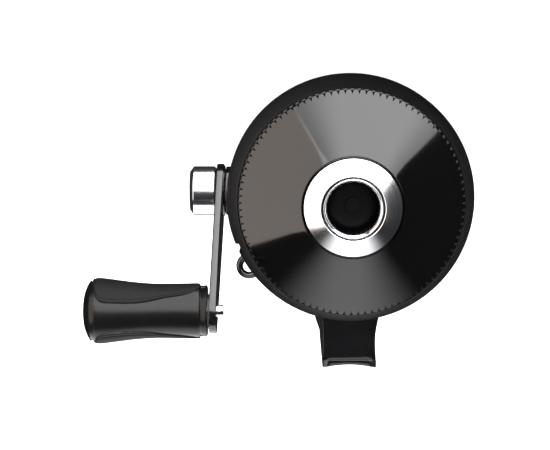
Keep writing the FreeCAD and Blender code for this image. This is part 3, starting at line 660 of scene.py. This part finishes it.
# %% A knurl cut into a turned rim
knurl, given = new_tree("knurl", [("Geometry", "Geometry"), ("Centre", "Vector"), ("Radius", "Float"),
                                  ("Depth", "Float"), ("Teeth", "Int"), ("Groove", "Float"),
                                  ("Cone from", "Float"), ("Slope", "Float"), ("Material", "Material")])
here = add(knurl, "GeometryNodeInputPosition").outputs[0]
local = add(knurl, "ShaderNodeVectorMath", {0: here, 1: given["Centre"]}, operation="SUBTRACT").outputs[0]
xyz = add(knurl, "ShaderNodeSeparateXYZ", {0: local}).outputs
angle = add(knurl, "ShaderNodeMath", {0: xyz["Z"], 1: xyz["X"]}, operation="ARCTAN2").outputs[0]
flat = add(knurl, "ShaderNodeCombineXYZ", {"X": xyz["X"], "Z": xyz["Z"]}).outputs[0]
radius = add(knurl, "ShaderNodeVectorMath", {0: flat}, operation="LENGTH").outputs["Value"]
turns = add(knurl, "ShaderNodeMath", {0: angle, 1: math.tau}, operation="DIVIDE").outputs[0]
pitches = add(knurl, "ShaderNodeMath", {0: turns, 1: given["Teeth"]}, operation="MULTIPLY").outputs[0]
away = add(knurl, "ShaderNodeMath", {0: pitches, 1: 0.5}, operation="PINGPONG").outputs[0]
share = add(knurl, "ShaderNodeMath", {0: away, 1: given["Groove"]}, operation="DIVIDE",
            use_clamp=True).outputs[0]
rise = add(knurl, "ShaderNodeMath", {0: share, 1: 1.0}, operation="SUBTRACT").outputs[0]
limit = add(knurl, "ShaderNodeMath", {0: rise, 1: given["Depth"], 2: given["Radius"]},
            operation="MULTIPLY_ADD").outputs[0]
kept = add(knurl, "ShaderNodeMath", {0: radius, 1: limit}, operation="MINIMUM").outputs[0]
pull = add(knurl, "ShaderNodeMath", {0: kept, 1: radius}, operation="SUBTRACT").outputs[0]
on_cone = add(knurl, "ShaderNodeMath", {0: xyz["Y"], 1: given["Cone from"]},
              operation="LESS_THAN").outputs[0]
slope = add(knurl, "ShaderNodeMath", {0: given["Slope"], 1: on_cone}, operation="MULTIPLY").outputs[0]
back = add(knurl, "ShaderNodeMath", {0: pull, 1: slope}, operation="MULTIPLY").outputs[0]
outward = add(knurl, "ShaderNodeVectorMath", {0: flat}, operation="NORMALIZE").outputs[0]
inward = add(knurl, "ShaderNodeVectorMath", {0: outward, "Scale": pull}, operation="SCALE").outputs[0]
along = add(knurl, "ShaderNodeCombineXYZ", {"Y": back}).outputs[0]
shift = add(knurl, "ShaderNodeVectorMath", {0: inward, 1: along}, operation="ADD").outputs[0]
cutting = add(knurl, "GeometryNodeSetPosition", {"Geometry": given["Geometry"], "Offset": shift})
merged = add(knurl, "GeometryNodeMergeByDistance", {"Geometry": cutting.outputs[0], "Distance": 1e-6})
real = add(knurl, "GeometryNodeRealizeInstances", {0: merged.outputs[0]})
done = add(knurl, "GeometryNodeSetMaterial", {"Geometry": real.outputs[0], "Material": given["Material"]})
add(knurl, "NodeGroupOutput", {0: done.outputs[0]})
print("trees:", [g.name for g in bpy.data.node_groups])

# %% [markdown]
# ## Front cover
# The real cover is spun from aluminium and turned, its rim knurled so that a hand can unscrew it, and then
# it is anodised gloss black. Here its section is turned in 800 steps, eight to a tooth, and the knurl tree
# cuts the 100 grooves. A point on the cone slides along the cone as it is pulled in, so the cone stays
# true right up to the teeth.

# %% Front cover
def cone_front(radius):
    """Where the cover's cone is at a radius."""
    return COVER_RIM - (COVER_RADIUS - radius) * CONE_SLOPE


seat, seat_y = RING_RADIUS + 0.3, RING_FRONT + 2.4
floor_y = seat_y + 1.4
COVER_WALL, SKIRT_RADIUS, COLLAR_RADIUS, COLLAR_FRONT = 1.8, 28.0, 29.75, -5.0
floor_radius = COVER_RADIUS - (COVER_RIM + COVER_WALL - floor_y) / CONE_SLOPE
flange_back = -11.6
TEETH, TOOTH_DEPTH, GROOVE_SHARE = 100, 1.35, 0.25
cover_section = [Vector(p) for p in (
    (COVER_RADIUS, flange_back), (COVER_RADIUS, COVER_RIM + 0.4),
    (COVER_RADIUS - 0.06, COVER_RIM + 0.1), (COVER_RADIUS - 0.25, cone_front(COVER_RADIUS - 0.25)))]
cover_section += [Vector((r, cone_front(r))) for r in (30.8, 30.6, 30.4, 30.2, 29.6, 26, 22, 18, 14.6)]
cover_section += softened([Vector((seat + 0.2, cone_front(seat + 0.2))), Vector((seat, cone_front(seat))),
                           Vector((seat, seat_y))], 0.12)[1:-1]
cover_section += [Vector(p) for p in (
    (seat, seat_y), (9.4, seat_y), (9.4, floor_y), (floor_radius, floor_y),
    (SKIRT_RADIUS, cone_front(SKIRT_RADIUS) + COVER_WALL), (SKIRT_RADIUS, COLLAR_FRONT),
    (COLLAR_RADIUS, COLLAR_FRONT), (COLLAR_RADIUS, flange_back))]
front_cover = turned("front_cover_turned", cover_section, steps=TEETH * 8)
run_tree(front_cover, knurl, {
    "Centre": tuple(spot(0, 0, 0)), "Radius": COVER_RADIUS * MM, "Depth": TOOTH_DEPTH * MM, "Teeth": TEETH,
    "Groove": GROOVE_SHARE, "Cone from": (COVER_RIM + 0.2) * MM, "Slope": CONE_SLOPE,
    "Material": finish["cover_black"]})
shown(front_cover, "reel_body", "cover_black", "front_cover")

# %% [markdown]
# ## Nose ring and line guide
# The ring is stainless steel, spun and polished, and it protects the nose. Inside it sits a harder guide
# ring, whose ground bevel the line rubs on all day. Both are turned, with a narrow shadow gap between
# them. The outer ring's front is a straight cone, so that each light shows on it as one clean wedge.

# %% Nose ring
inner, back = LINE_RADIUS + 1.5, RING_FRONT + 2.3
ring_section = traced([(inner, back), (inner, LIP_FRONT + 0.25), (inner + 0.2, LIP_FRONT + 0.1),
                       (RING_RADIUS - 0.4, RING_FRONT - 0.15),
                       (RING_RADIUS - 0.2, RING_FRONT + 0.2), (RING_RADIUS - 0.2, back)])
nose_ring = turned("nose_ring_spun", softened(ring_section, 0.12), steps=320)
shown(nose_ring, "reel_body", "polished_steel", "nose_ring")

# %% Line guide
front_radius, guide_back = LINE_RADIUS + 1.05, RING_FRONT + 3.85
guide_section = traced([(LINE_RADIUS, guide_back + 0.8), (11.0, guide_back + 0.8), (11.0, guide_back),
                        (9.3, guide_back), (9.3, RING_FRONT + 2.35), (front_radius, RING_FRONT + 2.35),
                        (front_radius, LIP_FRONT + 0.3), (front_radius - 0.25, LIP_FRONT),
                        (LINE_RADIUS, LIP_FRONT + 0.85)])
line_guide = turned("line_guide_ground", softened(guide_section, 0.14), steps=256)
shown(line_guide, "reel_body", "guide_steel", "line_guide")

# %% [markdown]
# ## Body, hook keeper and crank boss
# The body is one moulded can with a satin skin. Its section is turned, and the holes for the crank boss,
# the drag dial and the hook keeper's strap are cut with booleans, because each is a plain solid's shape.

# %% Body shell
def boss_hole():
    """A bar to cut the hole that the crank's boss passes through."""
    return rod_of(7.18, -45, -20, "X", CRANK_LINE, 96)


body_section = traced([
    (30.0, -11.3), (30.4, -11.3), (30.4, -10.55), (31.6, -10.55), (31.6, -11.3), (31.85, -11.3),
    ((34.1, -6.9), (BODY_RADIUS, -1.0)), (BODY_RADIUS, 4.0), (33.6, 22.0), (32.0, 22.0), (32.0, 6.2),
    (27.5, 5.0), (27.5, 2.7), (30.0, 2.7)], 24)
body = turned("body_shell_moulded", softened(body_section, 0.35), steps=288)
joined(body, boss_hole(), box_of(-6, 6, 8.3, 12.9, 28, 45),
       box_of(33.7, 40, -12, 6, -1.35, 1.35, turn=156.3))
shown(body, "reel_body", "body_plastic", "body_shell")

# %% Hook keeper
keeper_turn, keeper_reach = math.radians(-146.3), 34.3
keeper_middle = Vector((keeper_reach * math.cos(keeper_turn), -4.0, keeper_reach * math.sin(keeper_turn)))
loop = [Vector((2.7 + math.cos(t), math.sin(t))) for t in (i / 24 * math.tau for i in range(24))]
shown(turned("hook_keeper_loop", loop, "Y", keeper_middle, 72), "reel_body", "gloss_plastic", "hook_keeper")

# %% Crank boss
boss_section = traced([(6.0, -35.7), (7.1, -35.7), (7.1, -29.0), (9.5, -29.0), (9.5, -27.2), (7.1, -27.2),
                       (7.1, -10.5), (4.5, -10.5), (4.5, -15.0), (6.0, -15.0)])
boss = turned("crank_boss", softened(boss_section, 0.3), "X", CRANK_LINE, 128)
joined(boss, *[rod_of(0.85, -30, -26, "X", CRANK_LINE + Vector((0, 0, up)), 24) for up in (-8.2, 8.2)])
shown(boss, "reel_body", "gloss_plastic", "side_housing")

# %% [markdown]
# ## Foot and stem
# The stem carries the reel on the rod, so it is a solid moulding: waisted from the front, swept back at the
# side. It is a stack of rounded sections, each as wide and as deep as the stem is at that height. The foot
# plate is a strip bent to the rod's curve, thinner towards both ends so the rod's hoods can grip it.

# %% Stem
def rounded_box(half_front, half_rear, y0, y1, z, radius=0.15, steps=4):
    """One level section of the stem with rounded corners, anticlockwise."""
    ring = []
    for cx, cy, first in ((half_rear - radius, y1 - radius, 0), (radius - half_rear, y1 - radius, 90),
                          (radius - half_front, y0 + radius, 180), (half_front - radius, y0 + radius, 270)):
        for step in range(steps + 1):
            turn = math.radians(first + 90 * step / steps)
            ring.append(Vector((cx + radius * math.cos(turn), cy + radius * math.sin(turn), z)))
    return ring


stem_fronts = [(-32.6, 8.2), (-34.0, 8.05), (-37.3, 7.6), (-41.0, 7.45), (-43.5, 7.47), (-46.6, 7.68)]
stem_rears = [(-32.6, 9.7), (-36.0, 9.7), (-38.6, 9.5), (-40.4, 9.0), (-42.2, 8.4), (-44.5, 7.9),
              (-46.6, 7.7)]
stem_backs = [(-32.6, 21.8), (-33.4, 21.8), (-35.0, 21.9), (-38.0, 23.2), (-41.5, 25.4), (-44.5, 28.4),
              (-46.6, 30.2)]


def at_height(knots, z):
    """A value between (z, value) knots."""
    for (z0, a), (z1, b) in zip(knots, knots[1:]):
        if z1 <= z <= z0:
            return a + (b - a) * (z0 - z) / (z0 - z1)
    return knots[-1][1]


levels = [-32.6 - 14.0 * i / 28 for i in range(29)]
fronts, rears, backs = ([tuple(p) for p in smooth_curve(knots, 60)]
                        for knots in (stem_fronts, stem_rears, stem_backs))
STEM_FRONT = 1.0
stem = stacked("foot_stem_moulded", [rounded_box(at_height(fronts, z), at_height(rears, z), STEM_FRONT,
                                                 at_height(backs, z), z) for z in levels])
shown(stem, "reel_body", "gloss_plastic", "foot_stem")

# %% Foot plate
def foot_rise(x):
    """How far the foot's hollow has dropped away at a distance from its middle."""
    return 30.0 - math.sqrt(30.0 ** 2 - x ** 2)


def foot_top(x, y):
    """Top of the foot, tapered towards its ends."""
    end = min(y + 1.5, 56.5 - y)
    taper = -46.55 + 0.65 * min(max(end, 0) / 16.0, 1.0)
    return min(-46.0 - foot_rise(x), taper)


FOOT_ROWS, FOOT_COLUMNS = 72, 32
foot_tools = bmesh.new()
sheets = []
for under in (False, True):
    sheet_rows = []
    for row_on in range(FOOT_ROWS + 1):
        y = -1.5 + 58.0 * row_on / FOOT_ROWS
        near_end = min(y + 1.5, 56.5 - y)
        half = 7.75 - 2.0 + math.sqrt(max(4.0 - max(2.0 - near_end, 0) ** 2, 0)) if near_end < 2.0 else 7.75
        line = []
        for column in range(FOOT_COLUMNS + 1):
            x = half * (2 * column / FOOT_COLUMNS - 1)
            z = -48.0 - foot_rise(x) if under else foot_top(x, y)
            line.append(foot_tools.verts.new(spot(x, y, z)))
        sheet_rows.append(line)
    sheets.append(sheet_rows)
for sheet_rows in sheets:
    for one, two in zip(sheet_rows, sheet_rows[1:]):
        for column in range(FOOT_COLUMNS):
            foot_tools.faces.new([one[column], one[column + 1], two[column + 1], two[column]])
top_rows, under_rows = sheets
for (a, b), (c, d) in zip(zip(top_rows, top_rows[1:]), zip(under_rows, under_rows[1:])):
    for column in (0, FOOT_COLUMNS):
        foot_tools.faces.new([a[column], b[column], d[column], c[column]])
for row_on in (0, FOOT_ROWS):
    for column in range(FOOT_COLUMNS):
        foot_tools.faces.new([top_rows[row_on][column], top_rows[row_on][column + 1],
                              under_rows[row_on][column + 1], under_rows[row_on][column]])
foot = finished("foot_plate_moulded", foot_tools)
edge = foot.modifiers.new("edge", "BEVEL")
edge.width, edge.segments, edge.limit_method, edge.angle_limit = 0.3 * MM, 3, "ANGLE", math.radians(50)
settled(foot)
joined(foot, *[rod_of(2.3, -50, -47.1, "Z", Vector((0, y, 0)), 48) for y in (6.0, 17.0)])
shown(foot, "reel_body", "gloss_plastic", "foot_plate")

# %% [markdown]
# ## Crank: arm, nut and knob
# The arm is a steel bar with its corners broken, narrowing a little towards the knob. The nut is turned,
# with broad chamfers and a shallow dish in its end. The knob is a satin core with two soft lens-shaped
# panels moulded over it, which stand proud, each with a sunk line just inside its edge. It is one grid
# round its axis whose radius is worked out point by point, so the panels' edges stay smooth.

# %% Arm
SWING, CANT, ARM_FACE = math.radians(-50.0), math.radians(1.0), -38.4
ARM_LENGTH, ARM_THICK = 46.0, 2.1
ARM_CRANK_END, ARM_KNOB_END = 7.9, 6.2    # half the width round each hole


def swung(point):
    """Turns a point of a straight-down crank to the stored position."""
    pivot = Vector((ARM_FACE, CRANK_LINE.y, 0))
    leaned = Matrix.Rotation(CANT, 3, "Y") @ (point - pivot) + pivot
    return Matrix.Rotation(SWING, 3, "X") @ (leaned - CRANK_LINE) + CRANK_LINE


lean = math.asin((ARM_KNOB_END - ARM_CRANK_END) / ARM_LENGTH)
side, drop = math.cos(lean), math.sin(lean)
crank_end, knob_end = ARM_CRANK_END * drop, -ARM_LENGTH + ARM_KNOB_END * drop
bar_line = traced([(-ARM_CRANK_END * side, crank_end),
                   ((0, ARM_CRANK_END), (ARM_CRANK_END * side, crank_end)),
                   (ARM_KNOB_END * side, knob_end),
                   ((0, -ARM_LENGTH - ARM_KNOB_END), (-ARM_KNOB_END * side, knob_end))], 40)
arm = pushed("crank_arm_bar", bar_line, lambda a, b, depth: swung(Vector((depth, CRANK_LINE.y + a, b))),
             ARM_FACE, ARM_FACE + ARM_THICK, edge=0.3)
hub = turned("hub", softened([Vector(p) for p in ((0, ARM_FACE), (7.4, ARM_FACE), (7.4, ARM_FACE + 2.5),
                                                  (0, ARM_FACE + 2.5))], 0.45), "X", CRANK_LINE, 160)
joined(arm, hub, how="UNION")
knob_middle = swung(Vector((ARM_FACE + ARM_THICK / 2, CRANK_LINE.y, -ARM_LENGTH)))
joined(arm, rod_of(1.67, -6, 6, "X", knob_middle, 48))
shown(arm, "crank", "arm_black", "crank_arm")

# %% Nut
NUT_RADIUS, NUT_LENGTH, NUT_GAP, NUT_BORE = 7.15, 7.65, 0.14, 1.95
nut_inner = ARM_FACE - NUT_GAP
nut_outer = nut_inner - NUT_LENGTH
nut_section = traced([(NUT_BORE, nut_inner), (6.6, nut_inner), (NUT_RADIUS, nut_inner - 0.5),
                      (NUT_RADIUS, nut_outer + 1.1), (5.7, nut_outer), (5.3, nut_outer),
                      (4.9, nut_outer + 0.5),
                      (0, nut_outer + 0.5), (0, nut_outer + 1.4), (NUT_BORE, nut_outer + 1.4)])
nut = turned("crank_nut_turned", softened(nut_section, 0.3, 6), "X", CRANK_LINE, 256)
shown(nut, "crank", "nut_steel", "crank_nut")

# %% Knob
KNOB_STEPS, PANEL_HEIGHT, SEAM_IN, SEAM_DEPTH = 400, 0.45, 1.0, 0.16
GRIP_RADIUS = 6.9                   # the panels are shaped only outside this radius
PANEL_FROM, PANEL_TO = 1.4, 31.6    # from the knob's inner end
PANEL_TURN, PAINT_FROM = 83.25, 0.1
knob_start = -1.55
panel_middles = (math.radians(PANEL_TURN), math.radians(PANEL_TURN - 180.0))
panel_halves = [(PANEL_FROM, 0.0), (2.2, 17.0), (3.6, 29.0), (7.0, 38.0), (11.3, 44.0), (18.0, 56.0),
                (24.0, 59.0), (28.45, 58.0), (30.25, 47.5), (31.3, 19.5), (PANEL_TO, 0.0)]
panel_curve = [tuple(p) for p in smooth_curve(panel_halves, 200)]


def panel_half(along):
    """Half the panel's width in degrees at a distance from the knob's inner end."""
    for (s0, a), (s1, b) in zip(panel_curve, panel_curve[1:]):
        if s0 <= along < s1:
            return max(a + (b - a) * (along - s0) / (s1 - s0), 0.0)
    return -20.0


def eased(value):
    """Smooth step from 0 to 1."""
    value = min(max(value, 0.0), 1.0)
    return value * value * (3 - 2 * value)


def panel_inside(radius, place, angle):
    """How far a point of the knob lies inside the edge of the nearer panel, in millimetres."""
    along = knob_start - place
    turn = angle - math.pi
    off = min(abs((turn + middle + math.pi) % math.tau - math.pi) for middle in panel_middles)
    to_side = (math.radians(panel_half(along)) - off) * radius
    return min(to_side, (along - PANEL_FROM) * 1.6, (PANEL_TO - along) * 1.6)


def knob_radius(radius, place, angle):
    """The knob's radius with its two panels: proud inside their edge, with a sunk line beside it."""
    if not 1.0 < knob_start - place < 32.2 or radius < GRIP_RADIUS:
        return radius
    inside = panel_inside(radius, place, angle)
    seam = math.exp(-((inside - SEAM_IN) / 0.22) ** 2) * SEAM_DEPTH
    return radius - PANEL_HEIGHT * (1 - eased((inside + 0.15) / 0.45)) - seam


grip = [(7.3, knob_start - 2.0), (7.66, knob_start - 2.6), (7.6, -8.0), (7.53, -15.0), (7.72, -19.0),
        (8.1, -23.0), (8.62, -27.0), (9.0, -30.0), (9.1, -31.6), (8.95, -32.6), (8.5, -33.6)]
dome = traced([(8.4, -33.75), ((5.2, -35.3), (0.8, -35.65))], 16)
knob_section = [Vector(p) for p in ((2.77, knob_start), (6.75, knob_start), (7.0, knob_start - 0.12),
                                    (7.15, knob_start - 0.4), (7.15, knob_start - 1.7))]
knob_section += smooth_curve(grip, 170) + dome + [Vector((0, -35.65))]
knob_section += [Vector(p) for p in ((0, -28.2), (2.95, -28.2), (2.95, -25.9), (2.77, -25.9))]
knob = turned("knob_grip_moulded", knob_section, "X", knob_middle, KNOB_STEPS, knob_radius)
shown(knob, "knob", "knob_rubber", "knob_grip")
knob.data.materials.append(finish["knob_panels"])    # the second finish, for the faces inside a panel
for face in knob.data.polygons:
    at = face.center / MM - AXIS - knob_middle
    reach = math.hypot(at.y, at.z)
    inside = panel_inside(reach, at.x, math.atan2(at.z, at.y))
    face.material_index = int(reach > GRIP_RADIUS and inside > PAINT_FROM)
print("soft panels on", sum(face.material_index for face in knob.data.polygons), "faces")

# %% [markdown]
# ## Thumb button and its ribs
# The button closes the back of the reel and tips under the thumb. Its side view is pushed across with
# rounded edges, and the repeat tree sets seven rubber ribs along its curve, each a short rod with
# rounded ends.

# %% Button
def sideways(a, b, depth):
    """Places an outline drawn from the side, and pushes it across the reel."""
    return Vector((depth, a, b))


button_line = traced([(38.5, -5.8), ((41.7, 9.0), (38.9, 21.5)), ((36.3, 26.6), (31.0, 29.2)),
                      (22.4, 29.4), (22.4, 27.6), (30.2, 27.2), ((34.6, 25.0), (36.6, 20.4)),
                      ((38.8, 9.0), (35.4, -5.8))], 24)
button = pushed("thumb_button_moulded", button_line, sideways, -9.0, 9.0, edge=0.5)
web = pushed("web", [Vector(p) for p in ((31.6, -9), (36.5, -9.6), (38.5, -5.8), (37.6, -4.6),
                                     (35.4, -5.0))],
             sideways, -8.8, 8.8)
tongue = pushed("tongue", [Vector(p) for p in ((27.25, -1.1), (38.6, -1.1), (38.6, 1.1), (27.25, 1.1))],
                sideways, -2.0, 2.0)
PIVOT = Vector((0, 34.0, -9.0))
joined(button, web, rod_of(2.8, -8.8, 8.8, "X", PIVOT), tongue, how="UNION")
joined(button, rod_of(1.3, -20, 20, "X", PIVOT, 48))
shown(button, "button", "gloss_plastic", "thumb_button")

# %% Ribs
RIB_CURVE, RIB_COUNT, RIB_FIRST, RIB_STEP = 28.0, 7, -14.0, 5.5
rib_turn = Vector((0, 41.7 - RIB_CURVE, 9.0))
rib_section = softened([Vector(p) for p in ((0, -6.5), (0.56, -6.5), (0.56, 6.5), (0, 6.5))], 0.3)
rib = turned("rib", rib_section, "X", rib_turn + Vector((0, RIB_CURVE - 0.15, 0)), 32)
ribs = copies("thumb_ribs", rib, RIB_COUNT, rib_turn, (1.0, 0.0, 0.0), RIB_FIRST, RIB_STEP, "seal_rubber")
shown(ribs, "button", "seal_rubber", "thumb_grip")

# %% [markdown]
# ## Rear cover, drag dial and screws
# The rear cover is the other half of the can: a turned shell, cut open for the button and for the crank's
# boss, with two ears that hold the button's pin. The drag dial is cut by the same knurl tree as the front
# cover, with its own sizes, and the three screws are one screw repeated by the other tree.

# %% Rear cover
rear_section = traced([(31.85, 19.2), (31.85, 22.1), (33.5, 22.1), ((30.2, 34.6), (21.0, 40.4)), (0, 41.0),
                       (0, 39.0), (20.2, 38.5), ((28.3, 33.4), (30.4, 24.0)), (30.4, 19.2)], 28)
rear = turned("rear_cover_moulded", softened(rear_section, 0.3), steps=256)
joined(rear, box_of(-9.3, 9.3, 18.9, 45, -6, 40), boss_hole(),
       rod_of(9.6, -31, -20, "X", CRANK_LINE, 96))
ears = [box_of(left, right, 30.6, 39.4, -12.5, -5.6) for left, right in ((-11.9, -9.4), (9.4, 11.9))]
joined(rear, *ears, how="UNION")
SCREW_REACH = 24.5
screw_places = [Vector((SCREW_REACH * math.cos(t), 0, SCREW_REACH * math.sin(t)))
                for t in map(math.radians, (30, 150, 270))]
joined(rear, rod_of(1.28, -20, 20, "X", PIVOT, 48),
       *[rod_of(2.2, 37.6, 45, "Y", p, 48) for p in screw_places],
       *[rod_of(1.15, 30, 45, "Y", p, 32) for p in screw_places])
shown(rear, "reel_body", "body_plastic", "rear_cover")

# %% Rear screws
screw_section = softened([Vector(p) for p in ((0, 28.4), (0.88, 28.4), (0.88, 37.65), (2.0, 37.65),
                                              (2.0, 38.6), (1.7, 38.85), (0, 38.85))], 0.15)
head = screw_places[0]
screw = turned("screw", screw_section, "Y", head, 64)
joined(screw, *[box_of(head.x - a, head.x + a, 38.25, 40, head.z - b, head.z + b)
                for a, b in ((1.24, 0.26), (0.26, 1.24))])
screws = copies("rear_screws", screw, 3, ORIGIN, (0.0, 1.0, 0.0), 0.0, 120.0, "screw_steel")
shown(screws, "reel_body", "screw_steel", "rear_cover_screws")

# %% Drag dial
DIAL, DIAL_RADIUS, DIAL_TEETH = Vector((0, 0, 24.4)), 9.2, 36
dial_section = softened([Vector(p) for p in ((1.22, 9.0), (3.2, 9.0), (3.2, 10.0), (7.4, 10.0), (7.4, 9.0),
                                             (DIAL_RADIUS, 9.0), (DIAL_RADIUS, 12.2), (1.22, 12.2))], 0.2)
dial = turned("drag_dial_knurled", dial_section, "Y", DIAL, DIAL_TEETH * 8)
run_tree(dial, knurl, {"Centre": tuple(spot(*DIAL)), "Radius": DIAL_RADIUS * MM, "Depth": 0.5 * MM,
                       "Teeth": DIAL_TEETH, "Groove": 0.3, "Cone from": -1.0, "Slope": 0.0,
                       "Material": finish["body_plastic"]})
shown(dial, "dial", "body_plastic", "drag_dial")

# %% Bearing balls and clutch rollers
BALL, ROLLER = 0.75, 0.52    # their radii
ball_section = [Vector((BALL * math.sin(t), -33.7 - BALL * math.cos(t)))
                for t in (i / 16 * math.pi for i in range(17))]
ball_section[0].x = ball_section[-1].x = 0.0
ball = turned("ball", ball_section, "X", CRANK_LINE + Vector((0, 4.5, 0)), 32)
balls = copies("bearing_balls", ball, 10, CRANK_LINE, (1.0, 0.0, 0.0), 0.0, 36.0, "bearing_steel")
shown(balls, "reel_body", "bearing_steel", "crank_bearing_balls")
roller_section = softened([Vector(p) for p in ((0, -30.0), (ROLLER, -30.0), (ROLLER, -19.0),
                                              (0, -19.0))], 0.12)
roller = turned("roller", roller_section, "X", CRANK_LINE + Vector((0, 4.6, 0)), 32)
rollers = copies("clutch_rollers_ground", roller, 8, CRANK_LINE, (1.0, 0.0, 0.0), 0.0, 45.0,
                 "bearing_steel")
shown(rollers, "reel_body", "bearing_steel", "clutch_rollers")

# %% [markdown]
# ## Spinner head
# Behind the nose ring the spinner head waits to wind the line. It was turned, and its face keeps stepped
# rings, so its section carries a shallow wave. Its finish has a low IOR that paints the shade deep inside
# the nose, and the nut on its nose is given the same finish.

# %% Spinner head
FACE_RADIUS, FACE_FRONT, WAVE, WAVE_PITCH = 23.8, -13.75, 0.05, 1.3
spinner_section = traced([(25.0, -8.2), (25.0, -12.6), ((24.65, -13.4), (FACE_RADIUS, FACE_FRONT))])
for index in range(60):
    radius = 23.0 - 15.4 * index / 59
    rise = FACE_FRONT - (FACE_RADIUS - radius) * 4.2 / 16.3
    spinner_section.append(Vector((radius, rise + WAVE * math.sin(radius * math.tau / WAVE_PITCH))))
spinner_section += traced([(7.5, -17.95), ((6.0, -18.3), (4.4, -18.4)), (1.52, -18.4), (1.52, -12.6),
                           (4.2, -12.6), (4.2, -17.3), (23.6, -12.3), (23.6, -8.2)])
spinner = turned("spinner_head_turned", spinner_section, steps=256)
joined(spinner, rod_of(1.0, 20, 30, "Z", Vector((0, -11.5, 0)), 48))
shown(spinner, "rotor", "rotor_alloy", "spinner_head")

# %% [markdown]
# ## Which light falls on which piece
# A photographer flags a light off the parts that it spoils. Here each light may leave pieces out: the satin
# body would grey over under the large top light, and the crank has its own low light, further back, so that
# its steel nut keeps a dark band between two bright ones.

# %% Flags
def flagged(light, pieces, state="EXCLUDE"):
    """Keeps a light off some pieces, or with INCLUDE, on those pieces only."""
    group = bpy.data.collections.new(light.name + "_pieces")
    for piece in pieces:
        group.objects.link(piece)
    for entry in group.collection_objects:
        entry.light_linking.link_state = state
    light.light_linking.receiver_collection = group


crank_pieces = [knob, arm, nut, frame["nodes"]["knob_pin"]]
flagged(top_light, [body, rear])
flagged(glow, crank_pieces)
flagged(crank_glow, crank_pieces, "INCLUDE")
print("flags on", [light.name for light in (top_light, glow, crank_glow)])
